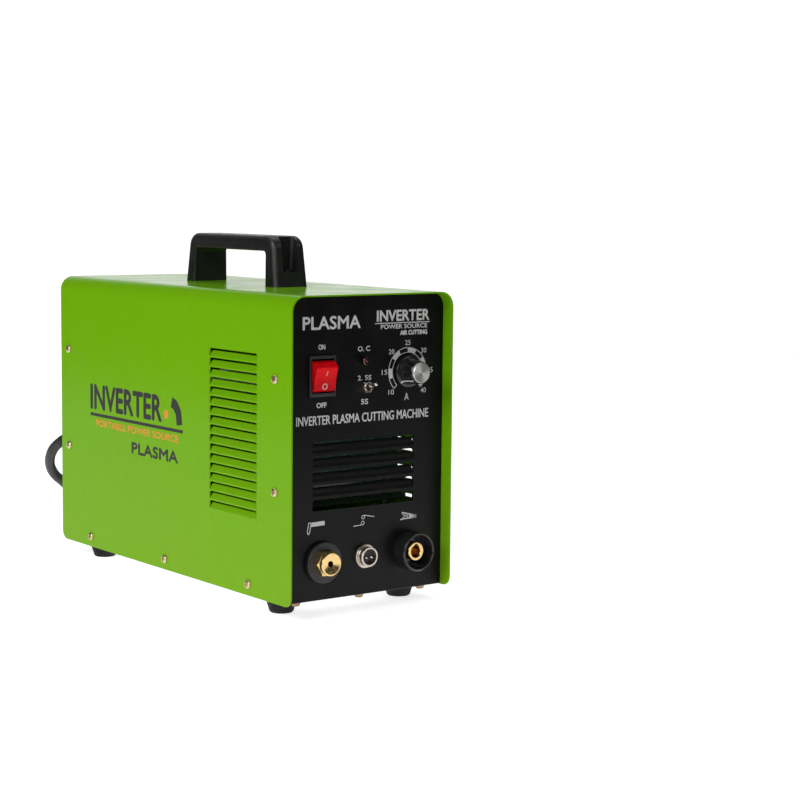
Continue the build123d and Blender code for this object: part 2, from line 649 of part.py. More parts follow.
def side_edges(body, reach):
    """The handle's edges above the cover that lie on its two sides, as far as reach along Y."""
    edges = []
    for edge in body.edges():
        middle = edge.center()
        if middle.Z > TOP_Z + 1 and abs(middle.X) > HANDLE_WIDTH / 2 - 1 and abs(middle.Y) < reach:
            edges.append(edge)
    return edges


def handle_gap():
    """The space for the fingers, a little narrower at its top."""
    under = TOP_Z + HANDLE_HEIGHT - HANDLE_GRIP
    gap = prism_x([
        (-HANDLE_GAP_HALF, TOP_Z - 1), (HANDLE_GAP_HALF, TOP_Z - 1),
        (HANDLE_GAP_HALF - 1, under), (1 - HANDLE_GAP_HALF, under),
    ], -HANDLE_BASE_WIDTH, HANDLE_BASE_WIDTH)
    return fillet(gap.edges().filter_by(Axis.X).group_by(Axis.Z)[-1], HANDLE_GAP_CORNER)


def nut_z(x, y, size, hole_r, z0):
    """A hexagonal nut standing on z0; its size is (across flats, thickness)."""
    across_flats, thickness = size
    nut = Pos(x, y, z0) * extrude(RegularPolygon(across_flats / 2, 6, major_radius=False), thickness)
    return nut - rod_z(x, y, hole_r, z0 - 1, z0 + thickness + 1)


def handle_fasteners():
    """A screw in each pocket of the handle, and its nut under the cover."""
    length = POCKET_FLOOR + HANDLE_SCREW_REACH
    screw = pan_screw(HANDLE_SCREW_HEAD_R, HANDLE_SCREW_HEAD_H, HANDLE_SCREW_R, length)
    nut_floor = TOP_Z - COVER_SHEET - HANDLE_NUT[1]
    pieces = []
    for end in (-1, 1):
        y = end * HANDLE_SCREW_Y
        pieces.append(Pos(0, y, TOP_Z + POCKET_FLOOR) * screw)
        pieces.append(nut_z(0, y, HANDLE_NUT, HANDLE_SCREW_R + NUT_BITE, nut_floor))
    return pieces


def foot_places():
    return [(sx * FOOT_X, sy * FOOT_Y) for sy in (-1, 1) for sx in (-1, 1)]


def foot(x, y):
    flat_r = FOOT_BOTTOM_R - FOOT_EDGE
    body = turned_z(x, y, [
        (0, 0), (flat_r, 0), (FOOT_BOTTOM_R, FOOT_EDGE), (FOOT_TOP_R, BASE_Z0 - FOOT_TOP_BAND),
        (FOOT_TOP_R, BASE_Z0), (0, BASE_Z0),
    ])
    body -= rod_z(x, y, FOOT_BORE_R, -1, FOOT_BORE_DEPTH)
    return body - rod_z(x, y, SCREW_HOLE_R, 0, BASE_Z0 + 1)


def foot_fasteners():
    """The screw up through each foot, and its nut inside the case."""
    head_r, head_h = FOOT_SCREW_HEAD
    length = BASE_Z1 + FOOT_NUT[1] + 1 - FOOT_BORE_DEPTH
    screw = Rot(180, 0, 0) * pan_screw(head_r, head_h, SCREW_R, length)
    pieces = []
    for x, y in foot_places():
        pieces.append(Pos(x, y, FOOT_BORE_DEPTH) * screw)
        pieces.append(nut_z(x, y, FOOT_NUT, SCREW_R + NUT_BITE, BASE_Z1))
    return pieces


# ---------------------------------------------------------------- front controls
def rocker_block(size, y0, y1):
    """A block round the mains switch's middle, of (width, height)."""
    half_w, half_h = size[0] / 2, size[1] / 2
    return block(ROCKER_X - half_w, ROCKER_X + half_w, y0, y1, ROCKER_Z - half_h, ROCKER_Z + half_h)


def rocker_housing():
    bezel = rocker_block(ROCKER_BEZEL, front(ROCKER_BEZEL[2]), FRONT_Y)
    bezel = fillet(bezel.edges().group_by(Axis.Y)[0], ROCKER_BEZEL_EDGE)
    body = rocker_block(ROCKER_BODY, front(0.5), FRONT_Y + ROCKER_BODY[2])
    cavity = rocker_block(ROCKER_CAVITY, front(5), FRONT_Y + ROCKER_CAVITY[2])
    reach = ROCKER_BODY[0] / 2 - 0.2
    pivot_y, pivot_r = FRONT_Y + ROCKER_PIVOT_DEPTH, TRUNNION_R + RUNNING
    pivot = rod_x(pivot_y, ROCKER_Z, pivot_r, ROCKER_X - reach, ROCKER_X + reach)
    return bezel + body - cavity - pivot


def rocker_paddle():
    """The paddle at rest, its lower end pressed in."""
    paddle = prism_x(PADDLE_SIDE, -PADDLE_WIDTH / 2, PADDLE_WIDTH / 2)
    crests = paddle.edges().filter_by(Axis.X).group_by(Axis.Y)[0]
    paddle = fillet(crests, PADDLE_EDGE)
    reach = ROCKER_BODY[0] / 2 - 0.4
    paddle += rod_x(0, 0, TRUNNION_R, -reach, reach)
    return Pos(ROCKER_X, FRONT_Y + ROCKER_PIVOT_DEPTH, ROCKER_Z) * Rot(ROCKER_TILT, 0, 0) * paddle


def rocker_terminals():
    """Four blade terminals at the back of the mains switch."""
    back = FRONT_Y + ROCKER_BODY[2]
    width, length, height = TERMINAL
    blade = block(-width / 2, width / 2, 0, length, -height / 2, height / 2)
    places = [(dx, dz) for dx in (-TERMINAL_X, TERMINAL_X) for dz in (-TERMINAL_Z, TERMINAL_Z)]
    return [Pos(ROCKER_X + dx, back, ROCKER_Z + dz) * blade for dx, dz in places]


def lamp_bezel():
    across_flats, hole_r, thickness = LAMP_NUT
    back = FRONT_Y + PANEL_SHEET
    nut = nut_y(LAMP_X, LAMP_Z, across_flats, hole_r, back, back + thickness)
    return turned_front(LAMP_X, LAMP_Z, LAMP_BEZEL) + nut


def lamp_lens():
    return turned_front(LAMP_X, LAMP_Z, LAMP_LENS)


def toggle_body():
    """The toggle switch: its block and solder lugs behind the panel, its bushing through it."""
    back = FRONT_Y + PANEL_SHEET
    width, depth, height = (TOGGLE_BLOCK[0] / 2, TOGGLE_BLOCK[1], TOGGLE_BLOCK[2] / 2)
    body = block(TOGGLE_X - width, TOGGLE_X + width, back, back + depth, TOGGLE_Z - height, TOGGLE_Z + height)
    body += rod_y(TOGGLE_X, TOGGLE_Z, BUSHING_R, front(BUSHING_PROUD), back + 1)
    body -= turned_front(TOGGLE_X, TOGGLE_Z, TOGGLE_BORE)
    wide, long, thick = TOGGLE_LUG
    lug = block(-wide / 2, wide / 2, -0.1, long, -thick / 2, thick / 2)
    for dz in TOGGLE_LUG_Z:
        body += Pos(TOGGLE_X, back + depth, TOGGLE_Z + dz) * lug
    return body


def toggle_lever():
    """The lever at rest, tipped up."""
    lever = turned_z(0, 0, LEVER) + Sphere(LEVER_PIVOT_R)
    lever += Pos(0, 0, LEVER[-1][1]) * Sphere(LEVER_TIP_R)
    return Pos(TOGGLE_X, front(TOGGLE_PIVOT), TOGGLE_Z) * Rot(90 - TOGGLE_TILT, 0, 0) * lever


def control_nuts():
    """The nuts on the toggle switch's and potentiometer's bushings."""
    nuts = []
    for x, z, (across_flats, thickness), bushing_r in (
        (TOGGLE_X, TOGGLE_Z, TOGGLE_NUT, BUSHING_R), (KNOB_X, KNOB_Z, POT_NUT, POT_BUSHING[0]),
    ):
        nuts.append(nut_y(x, z, across_flats, bushing_r + NUT_BITE, front(thickness), FRONT_Y))
    return nuts


def potentiometer():
    back = FRONT_Y + PANEL_SHEET
    radius, depth = POT_BODY
    body = rod_y(KNOB_X, KNOB_Z, radius, back, back + depth)
    body += rod_y(KNOB_X, KNOB_Z, POT_BUSHING[0], front(POT_BUSHING[1]), back + 1)
    wide, thick, long = POT_LUG
    lug = block(-wide / 2, wide / 2, 0, thick, -long, 0)
    for dx in POT_LUG_X:
        body += Pos(KNOB_X + dx, back + depth - 2, KNOB_Z - radius + 2.5) * lug
    return body - rod_y(KNOB_X, KNOB_Z, SHAFT_R + RUNNING, front(POT_BUSHING[1] + 1), back + SHAFT_DEPTH + 1)


def knob_shaft():
    return rod_y(KNOB_X, KNOB_Z, SHAFT_R, front(SHAFT_PROUD), FRONT_Y + PANEL_SHEET + SHAFT_DEPTH)


def knob_body():
    return turned_front(KNOB_X, KNOB_Z, KNOB_RECESS + KNOB_SIDE[::-1] + KNOB_HOLLOW)


def knob_cap():
    return turned_front(KNOB_X, KNOB_Z, KNOB_CAP)


def knob_pointer():
    """The white line down the knob's side and across its skirt, at the lowest setting at rest."""
    outline = Polygon(*[(r, front(h)) for r, h in POINTER], align=None)
    line = extrude(outline, POINTER_WIDTH / 2, both=True)
    return Pos(KNOB_X, 0, KNOB_Z) * Rot(0, KNOB_START - 90, 0) * line - knob_body()


# ---------------------------------------------------------------- sockets
def torch_insulator():
    return turned_front(TORCH_X, TORCH_Z, TORCH_INSULATOR)


def torch_connector():
    """The brass gas and current connector: a hexagon with a turned nose, and a hose tail inside the case."""
    inner, outer = CONNECTOR_HEX
    shank_r, shank_end = CONNECTOR_SHANK
    body = hex_y(TORCH_X, TORCH_Z, CONNECTOR_AF, front(outer), front(inner))
    body &= turned_front(TORCH_X, TORCH_Z, CONNECTOR_HEX_TRIM)
    body += turned_front(TORCH_X, TORCH_Z, CONNECTOR_NOSE)
    body += rod_y(TORCH_X, TORCH_Z, shank_r, front(inner + 0.1), FRONT_Y + shank_end)
    body += rod_y(TORCH_X, TORCH_Z, HOSE_R, FRONT_Y + shank_end - 1, FRONT_Y + CONNECTOR_TAIL)
    body -= turned_front(TORCH_X, TORCH_Z, CONNECTOR_CONE)
    return body - rod_y(TORCH_X, TORCH_Z, CONNECTOR_BORE_R, front(14), FRONT_Y + CONNECTOR_TAIL + 1)


def trigger_socket_shell():
    """The nickel shell of the two-pin trigger socket."""
    return turned_front(TRIGGER_X, TRIGGER_Z, TRIGGER_SHELL)


def trigger_pin_places():
    return [(TRIGGER_X + side * PIN_X, TRIGGER_Z + PIN_Z) for side in (-1, 1)]


def trigger_socket_insert():
    """The insulating insert, with its key and the holes of its two pins."""
    radius, height, depth = TRIGGER_INSERT
    body = rod_y(TRIGGER_X, TRIGGER_Z, radius, front(height), FRONT_Y + depth)
    width, key_height, thick = TRIGGER_KEY
    key_z = TRIGGER_Z + TRIGGER_KEY_Z
    x0, x1 = TRIGGER_X - width / 2, TRIGGER_X + width / 2
    body += block(x0, x1, front(key_height), front(height - 0.1), key_z - thick / 2, key_z + thick / 2)
    for x, z in trigger_pin_places():
        body -= rod_y(x, z, PIN_R + NUT_BITE, front(height + 1), FRONT_Y + depth + 1)
    return body


def trigger_socket_pins():
    return [turned_front(x, z, PIN_TIP) for x, z in trigger_pin_places()]


def work_socket_collar():
    return turned_front(WORK_X, WORK_Z, WORK_COLLAR)


def work_socket_contact():
    """The brass contact of the work socket, bored for the plug's pin, with its bayonet slot."""
    width, outer, inner = WORK_SLOT
    slot = block(WORK_X - width / 2, WORK_X + width / 2, front(outer), front(inner), WORK_Z + 3, WORK_Z + 6.2)
    return turned_front(WORK_X, WORK_Z, WORK_CONTACT) - slot


def socket_nuts():
    """The nuts that hold the three sockets, behind the panel."""
    nuts = []
    for x, z, (across_flats, hole_r, thickness), y in (
        (TORCH_X, TORCH_Z, TORCH_NUT, FRONT_Y + SOCKET_SLEEVE),
        (TRIGGER_X, TRIGGER_Z, TRIGGER_NUT, FRONT_Y + PANEL_SHEET),
        (WORK_X, WORK_Z, WORK_NUT, FRONT_Y + SOCKET_SLEEVE),
    ):
        nuts.append(nut_y(x, z, across_flats, hole_r, y, y + thickness))
    return nuts


# ---------------------------------------------------------------- boards and power parts
def control_board():
    """The upright board behind the controls, with its chips."""
    y0, y1 = CONTROL_BOARD_Y, CONTROL_BOARD_Y + BOARD
    board = block(-CONTROL_BOARD_HALF, CONTROL_BOARD_HALF, y0, y1, *CONTROL_BOARD_Z)
    board += block(-CONTROL_BOARD_HALF, CONTROL_FOOT_X, y0, y1, *CONTROL_FOOT_Z)
    for x, z, w, h in CONTROL_CHIPS:
        board += block(x - w / 2, x + w / 2, y1 - 0.1, y1 + CHIP_HEIGHT, z - h / 2, z + h / 2)
    return board


def standoff_places():
    return [(x, y) for x in (-STANDOFF_X, STANDOFF_X) for y in STANDOFF_Y]


def power_board():
    board = block(-POWER_BOARD_HALF, POWER_BOARD_HALF, *POWER_BOARD_Y, POWER_BOARD_Z, BOARD_TOP)
    for x, y in standoff_places():
        board -= rod_z(x, y, STANDOFF_STUD_R + 0.1, POWER_BOARD_Z - 1, BOARD_TOP + 1)
    return board


def board_standoffs():
    """Six hexagonal pillars between the base plate and the power board, each with a screw on top."""
    outline = RegularPolygon(STANDOFF_AF / 2, 6, major_radius=False)
    head = pan_screw(*STANDOFF_HEAD, STANDOFF_STUD_R, 0.5)
    pillars = []
    for x, y in standoff_places():
        pillar = Pos(x, y, BASE_Z1) * extrude(outline, POWER_BOARD_Z - BASE_Z1)
        pillar += rod_z(x, y, STANDOFF_STUD_R, POWER_BOARD_Z - 0.1, BOARD_TOP)
        pillars.append(pillar + Pos(x, y, BOARD_TOP) * head)
    return pillars


def heatsinks():
    """Two finned extrusions along the case, one over each side of the power board."""
    sinks = []
    for side in (-1, 1):
        x0, x1 = sorted(side * x for x in SINK_X)
        sink = block(x0, x1, *SINK_Y, BOARD_TOP, BOARD_TOP + SINK_BASE)
        for i in range(SINK_FINS):
            x = x0 + i * (x1 - x0 - FIN) / (SINK_FINS - 1)
            sink += block(x, x + FIN, *SINK_Y, BOARD_TOP + SINK_BASE - 1, BOARD_TOP + SINK_HEIGHT)
        sinks.append(sink)
    return sinks


def filter_capacitors():
    cans = []
    for x in CAN_X:
        can = rod_z(x, CAN_Y, CAN_R, BOARD_TOP, BOARD_TOP + CAN_HEIGHT)
        cans.append(fillet(can.edges().group_by(Axis.Z)[-1], CAN_EDGE))
    return cans


def bridge_rectifier():
    width, depth, height = RECTIFIER
    y0, y1 = RECTIFIER_Y - depth / 2, RECTIFIER_Y + depth / 2
    body = block(-width / 2, width / 2, y0, y1, BOARD_TOP, BOARD_TOP + height)
    return chamfer(body.edges().filter_by(Axis.Z).sort_by(Axis.X)[0], RECTIFIER_CORNER)


def transformer_core():
    w, d, h = (size / 2 for size in CORE_SIZE)
    x, y, z = TRANSFORMER_X, TRANSFORMER_Y, BASE_Z1 + h
    core = block(x - w, x + w, y - d, y + d, z - h, z + h)
    for side in (-1, 1):
        x0, x1 = sorted(x + side * edge for edge in CORE_WINDOW_X)
        core -= block(x0, x1, y - d - 1, y + d + 1, z - CORE_WINDOW_HALF, z + CORE_WINDOW_HALF)
    return core


def transformer_winding():
    centre = Pos(TRANSFORMER_X, TRANSFORMER_Y, BASE_Z1 + CORE_SIZE[2] / 2)
    coil = Box(*WINDING_SIZE)
    coil = fillet(coil.edges().filter_by(Axis.Z), WINDING_CORNER)
    return centre * (coil - Box(*WINDING_HOLE, WINDING_SIZE[2] + 2))


def inductor_core():
    inner, outer = INDUCTOR_R
    low, high = INDUCTOR_Z - INDUCTOR_HALF, INDUCTOR_Z + INDUCTOR_HALF
    return turned_z(INDUCTOR_X, INDUCTOR_Y, [(inner, low), (outer, low), (outer, high), (inner, high)])


def inductor_winding():
    """Turns of heavy wire round the ring core."""
    inner, outer = INDUCTOR_R
    half, high = WIRE_WIDTH / 2, INDUCTOR_HALF + WIRE
    turn = block(inner - WIRE, outer + WIRE, -half, half, -high, high)
    clear = INDUCTOR_HALF + WIRE_GAP
    turn -= block(inner - 3 * WIRE_GAP, outer + WIRE_GAP, -WIRE_WIDTH, WIRE_WIDTH, -clear, clear)
    centre = Pos(INDUCTOR_X, INDUCTOR_Y, INDUCTOR_Z)
    return [centre * Rot(0, 0, i * 360 / INDUCTOR_TURNS) * turn for i in range(INDUCTOR_TURNS)]


# ---------------------------------------------------------------- air
def valve_centre_y():
    return (VALVE_Y[0] + VALVE_Y[1]) / 2


def valve_body():
    y0, y1 = VALVE_Y
    body = block(VALVE_X - VALVE_HALF, VALVE_X + VALVE_HALF, y0, y1, BASE_Z1, VALVE_TOP)
    body += rod_y(VALVE_X, VALVE_PORT_Z, HOSE_R, y0 - VALVE_PORT_REACH, y1 + VALVE_PORT_REACH)
    return body - rod_z(VALVE_X, valve_centre_y(), PLUNGER_R + RUNNING, SEAT_Z - 0.3, VALVE_TOP + 1)


def valve_coil():
    x, y = VALVE_X, valve_centre_y()
    half_w, half_d = VALVE_COIL[0] / 2, VALVE_COIL[1] / 2
    body = block(x - half_w, x + half_w, y - half_d, y + half_d, VALVE_TOP, VALVE_TOP + VALVE_COIL[2])
    body = fillet(body.edges().filter_by(Axis.Z), VALVE_COIL_CORNER)
    return body - rod_z(x, y, PLUNGER_R + RUNNING, VALVE_TOP - 1, VALVE_BORE_TOP)


def valve_plunger():
    return rod_z(VALVE_X, valve_centre_y(), PLUNGER_R, SEAT_Z, SEAT_Z + PLUNGER_LENGTH)


def valve_spring():
    y = valve_centre_y()
    inner, outer = SPRING_R
    z0, z1 = SEAT_Z + PLUNGER_LENGTH, VALVE_BORE_TOP
    return rod_z(VALVE_X, y, outer, z0, z1) - rod_z(VALVE_X, y, inner, z0 - 1, z1 + 1)


def air_inlet_fitting():
    """The brass bulkhead inlet: a hexagon outside, its thread bore, and a hose tail inside."""
    thread_r, thread_depth = INLET_THREAD
    nut_bore, nut_thick = INLET_NUT
    back = REAR_Y - PANEL_SHEET
    body = hex_y(INLET_X, INLET_Z, INLET_AF, REAR_Y, REAR_Y + INLET_HEX)
    body &= turned_y(INLET_X, INLET_Z, [(r, REAR_Y + h) for r, h in INLET_TRIM])
    body += rod_y(INLET_X, INLET_Z, thread_r, REAR_Y - thread_depth, REAR_Y + 0.1)
    body += rod_y(INLET_X, INLET_Z, HOSE_R, REAR_Y - INLET_TAIL, REAR_Y - thread_depth + 1)
    body += nut_y(INLET_X, INLET_Z, INLET_AF, nut_bore, back - nut_thick, back)
    body -= rod_y(INLET_X, INLET_Z, INLET_BORE_R, REAR_Y + 0.1, REAR_Y + INLET_HEX + 1)
    return body - rod_y(INLET_X, INLET_Z, AIRWAY_R, REAR_Y - INLET_TAIL - 1, REAR_Y + 1)


def hose(points):
    """A rubber hose through the points, its corners rounded."""
    path = FilletPolyline(*[Vector(p) for p in points], radius=HOSE_BEND)
    start = Vector(points[0])
    plane = Plane(origin=start, z_dir=Vector(points[1]) - start)
    return sweep(plane * Circle(HOSE_R), path=path)


def air_hoses():
    """From the inlet to the valve, and from the valve to the torch connector."""
    inlet = [
        (INLET_X, REAR_Y - INLET_TAIL, INLET_Z), (INLET_X, 142, INLET_Z), (VALVE_X, 124, VALVE_PORT_Z),
        (VALVE_X, VALVE_Y[1] + VALVE_PORT_REACH, VALVE_PORT_Z),
    ]
    outlet = [
        (VALVE_X, VALVE_Y[0] - VALVE_PORT_REACH, VALVE_PORT_Z), (VALVE_X, 50, VALVE_PORT_Z), (0, 34, 24),
        (0, -58, 24), (TORCH_X, -112, TORCH_Z), (TORCH_X, FRONT_Y + CONNECTOR_TAIL, TORCH_Z),
    ]
    return [hose(inlet), hose(outlet)]


# ---------------------------------------------------------------- fan
FAN_Y1 = REAR_Y - PANEL_SHEET
FAN_Y0 = FAN_Y1 - FAN_DEPTH


def fan_frame():
    half = FAN_SIZE / 2
    frame = block(-half, half, FAN_Y0, FAN_Y1, FAN_Z - half, FAN_Z + half)
    frame = fillet(frame.edges().filter_by(Axis.Y), FAN_CORNER)
    frame -= rod_y(0, FAN_Z, FAN_OPENING_R + 0.5, FAN_Y0 - 1, FAN_Y1 + 1)
    start, thick, wide = FAN_ARM
    arm = block(start, half + 4, FAN_Y0, FAN_Y0 + thick, -wide / 2, wide / 2)
    for turn in (45, 135, 225, 315):
        frame += Pos(0, 0, FAN_Z) * Rot(0, turn, 0) * arm
    boss_r, boss_h = FAN_BOSS
    frame += rod_y(0, FAN_Z, boss_r, FAN_Y0, FAN_Y0 + boss_h)
    frame -= rod_y(0, FAN_Z, FAN_SHAFT_R + RUNNING, FAN_Y0 + 1, FAN_Y0 + boss_h + 1)
    for x, z in fan_corners():
        frame -= rod_y(x, z, SCREW_HOLE_R, FAN_Y0 - 1, FAN_Y1 + 1)
    return frame


def fan_rotor():
    """The hub on its shaft, and the blades cut off round."""
    y0, y1 = FAN_Y0 + ROTOR_GAP, FAN_Y1 - 2
    rotor = rod_y(0, 0, FAN_HUB_R, y0, y1)
    rotor += rod_y(0, 0, FAN_SHAFT_R, y0 - ROTOR_GAP / 2, y0 + 1)
    blade = Pos(BLADE_MIDDLE, (y0 + y1) / 2, 0) * Rot(BLADE_PITCH, 0, 0) * Box(*BLADE)
    for i in range(FAN_BLADES):
        rotor += Rot(0, i * 360 / FAN_BLADES, 0) * blade
    rotor &= rod_y(0, 0, FAN_OPENING_R - 1.5, y0 - 3, y1 + 1)
    return Pos(0, 0, FAN_Z) * rotor


def fan_guard():
    """Wire rings on four spokes, with an eye at each corner."""
    ring_at = Pos(0, REAR_Y + GUARD_RING_Y, FAN_Z) * Rot(90, 0, 0)
    boss_r, boss_back, boss_front = GUARD_BOSS
    eye_r, eye_back, eye_front = GUARD_EYE
    guard = rod_y(0, FAN_Z, boss_r, REAR_Y + boss_back, REAR_Y + boss_front)
    guard += [ring_at * Torus(r, GUARD_WIRE) for r in GUARD_RINGS]
    for x, z in fan_corners():
        angle = math.degrees(math.atan2(z - FAN_Z, x))
        reach = math.hypot(x, z - FAN_Z) - 3.5
        spoke = Rot(0, -angle, 0) * rod_x(REAR_Y + GUARD_SPOKE_Y, 0, GUARD_WIRE, boss_r - 2, reach)
        guard += Pos(0, 0, FAN_Z) * spoke
        guard += rod_y(x, z, eye_r, REAR_Y + eye_back, REAR_Y + eye_front)
    for x, z in fan_corners():
        guard -= rod_y(x, z, SCREW_HOLE_R, REAR_Y - 1, REAR_Y + eye_front + 2)
    return guard


def fan_screws():
    head_r, head_h, length = FAN_SCREW
    screw = Rot(-90, 0, 0) * pan_screw(head_r, head_h, SCREW_R, length)
    return [Pos(x, REAR_Y + GUARD_EYE[2], z) * screw for x, z in fan_corners()]


# ---------------------------------------------------------------- mains lead
def cord_gland():
    """The gland: hexagon and domed nut outside the panel, its neck and lock nut inside."""
    mouth = GLAND_MOUTH_Y - RELIEF_BACK
    neck_r, neck_depth = GLAND_NECK
    nut_bore, nut_thick = GLAND_NUT
    back = REAR_Y - PANEL_SHEET
    dome = [(r, REAR_Y + h) for r, h in GLAND_DOME]
    body = hex_y(GLAND_X, GLAND_Z, GLAND_AF, REAR_Y, REAR_Y + GLAND_HEX)
    body += turned_y(GLAND_X, GLAND_Z, [(0, dome[0][1]), *dome, (GLAND_MOUTH_R, mouth), (0, mouth)])
    body += rod_y(GLAND_X, GLAND_Z, neck_r, REAR_Y - neck_depth, REAR_Y + 0.1)
    return body + nut_y(GLAND_X, GLAND_Z, GLAND_AF, nut_bore, back - nut_thick, back)


def strain_relief():
    """The rubber sleeve that the cord leaves the gland in."""
    y0, y1 = GLAND_MOUTH_Y - RELIEF_BACK, GLAND_MOUTH_Y + RELIEF_FRONT
    root, waist, tip = RELIEF_RADII
    bore = CORD_R + CORD_GAP
    return turned_y(GLAND_X, GLAND_Z, [
        (0, y0), (root, y0), (waist, (y0 + y1) / 2), (tip, y1), (bore, y1), (bore, GLAND_MOUTH_Y),
        (0, GLAND_MOUTH_Y),
    ])


def coil_section(grow, z0, z1):
    """(radius, z) outline of the coil: turns two high inside and four high outside."""
    inner, outer = COIL_INNER_R - CORD_R - grow, COIL_OUTER_R + CORD_R + grow
    middle = COIL_OUTER_R - CORD_R
    step = z0 + 4 * CORD_R + grow
    return [(inner, z0), (outer, z0), (outer, z1), (middle - grow, z1), (middle - grow, step), (inner, step)]


def cord_tie():
    """A strap round the coil, on its far right side."""
    outer = turned_z(0, 0, coil_section(TIE_OUT, 0, COIL_CREST + TIE_OUT))
    inner = turned_z(0, 0, coil_section(TIE_IN, TIE_FLOOR, COIL_CREST + TIE_IN))
    reach = COIL_OUTER_R + 2 * CORD_R
    band = (outer - inner) & block(0, reach, -TIE_WIDTH / 2, TIE_WIDTH / 2, -1, COIL_CREST + 2)
    return Pos(COIL_X, COIL_Y, 0) * Rot(0, 0, TIE_TURN) * band


LEAD = cord_tube(LEAD_ROUTE)
TAIL = cord_tube(TAIL_ROUTE)


def mains_cord():
    """The lead from the gland to the coil, and from the coil to the plug."""
    return [LEAD, TAIL]


def mains_cord_coil():
    """The coil's outer shape, open where the cord runs into it and out of it."""
    ring = turned_z(COIL_X, COIL_Y, coil_section(0, COIL_BASE, COIL_CREST))
    return ring - cord_tie() - [LEAD, TAIL]


def mains_plug():
    """A moulded two-pin plug lying on the floor, its pins towards +X."""
    x, y, z = TAIL_ROUTE[-1]
    face = x + PLUG_PROFILE[-1][1]
    body = revolve(Polygon(*PLUG_PROFILE, align=None), Axis.Y)
    body = Pos(x, y, z) * Rot(0, 0, -90) * body
    for dy in (-PLUG_PIN_Y, PLUG_PIN_Y):
        body += rod_x(y + dy, z, PLUG_PIN_R, face - 0.1, face + PLUG_PIN_LENGTH)
    return body


# ---------------------------------------------------------------- nodes
NODES = {
    "cover_shell": cover_shell,
    "cover_screws": cover_screws,
    "base_plate": base_plate,
    "front_panel": front_panel,
    "rear_panel": rear_panel,
    "panel_screws": panel_screws,
    "handle": handle,
    "handle_fasteners": handle_fasteners,
    "foot_fasteners": foot_fasteners,
    "rocker_housing": rocker_housing,
    "rocker_paddle": rocker_paddle,
    "rocker_terminals": rocker_terminals,
    "lamp_bezel": lamp_bezel,
    "lamp_lens": lamp_lens,
    "toggle_body": toggle_body,
    "toggle_lever": toggle_lever,
    "control_nuts": control_nuts,
    "potentiometer": potentiometer,
    "knob_shaft": knob_shaft,
    "knob_body": knob_body,
    "knob_cap": knob_cap,
    "knob_pointer": knob_pointer,
    "torch_insulator": torch_insulator,
    "torch_connector": torch_connector,
    "trigger_socket_shell": trigger_socket_shell,
    "trigger_socket_insert": trigger_socket_insert,
    "trigger_socket_pins": trigger_socket_pins,
    "work_socket_collar": work_socket_collar,
    "work_socket_contact": work_socket_contact,
    "socket_nuts": socket_nuts,
    "control_board": control_board,
    "power_board": power_board,
    "board_standoffs": board_standoffs,
    "heatsinks": heatsinks,
    "filter_capacitors": filter_capacitors,
    "bridge_rectifier": bridge_rectifier,
    "transformer_core": transformer_core,
    "transformer_winding": transformer_winding,
    "inductor_core": inductor_core,
    "inductor_winding": inductor_winding,
    "valve_body": valve_body,
    "valve_coil": valve_coil,
    "valve_plunger": valve_plunger,
    "valve_spring": valve_spring,
    "air_inlet_fitting": air_inlet_fitting,
    "air_hoses": air_hoses,
    "fan_frame": fan_frame,
    "fan_rotor": fan_rotor,
    "fan_guard": fan_guard,
    "fan_screws": fan_screws,
    "cord_gland": cord_gland,
    "strain_relief": strain_relief,
    "cord_tie": cord_tie,
    "mains_cord": mains_cord,
    "mains_cord_coil": mains_cord_coil,
    "mains_plug": mains_plug,
}

FOOT_NAMES = ("foot_front_left", "foot_front_right", "foot_rear_left", "foot_rear_right")


def write(name, shape):
    if isinstance(shape, list):
        shape = Compound(children=shape)
    export_step(shape, f"parts/{name}.step")


os.makedirs("parts", exist_ok=True)
for name, make in NODES.items():
    write(name, make())
for name, (x, y) in zip(FOOT_NAMES, foot_places()):
    write(name, foot(x, y))
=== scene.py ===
import math
from functools import partial

import bmesh
import bpy
from mathutils import Matrix, Vector


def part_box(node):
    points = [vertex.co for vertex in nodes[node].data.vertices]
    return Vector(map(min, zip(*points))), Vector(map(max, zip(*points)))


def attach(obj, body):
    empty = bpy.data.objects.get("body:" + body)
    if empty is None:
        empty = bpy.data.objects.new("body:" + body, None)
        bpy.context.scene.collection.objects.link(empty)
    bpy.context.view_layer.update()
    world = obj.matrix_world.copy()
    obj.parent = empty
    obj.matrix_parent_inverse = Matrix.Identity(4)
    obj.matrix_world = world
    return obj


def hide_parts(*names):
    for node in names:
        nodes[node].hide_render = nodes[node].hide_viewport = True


# The plasma cutter's looks: its cord, printing, small parts and materials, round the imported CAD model.
# Metres, in the CAD frame: the case stands on z = 0, its front faces -Y and +X is to the right.

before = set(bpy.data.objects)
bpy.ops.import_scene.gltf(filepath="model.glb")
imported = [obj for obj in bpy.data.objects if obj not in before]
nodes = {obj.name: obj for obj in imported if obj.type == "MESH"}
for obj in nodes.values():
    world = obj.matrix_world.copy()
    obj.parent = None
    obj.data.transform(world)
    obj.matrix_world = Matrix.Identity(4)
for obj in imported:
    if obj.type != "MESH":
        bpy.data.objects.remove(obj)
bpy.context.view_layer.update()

MM = 0.001
FRONT_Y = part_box("front_panel")[0].y
LEFT_X, RIGHT_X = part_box("cover_shell")[0].x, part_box("cover_shell")[1].x
# How far a print stands off its face, and how much further each copy that widens its strokes does.
PRINT = 0.06 * MM
PRINT_STEP = 0.01 * MM
WELD = 1e-7


def centre_of(node):
    low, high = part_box(node)
    return (low + high) / 2


# ---------------------------------------------------------------- camera
CAMERA_PLACE = (-0.89171, -1.39183, 0.32798)
CAMERA_ANGLES = (-37.231, 6.099, 0.585)
CAMERA_LENS, CAMERA_SENSOR = 87.45, 36
CAMERA_NEAR, CAMERA_FAR = 0.05, 50


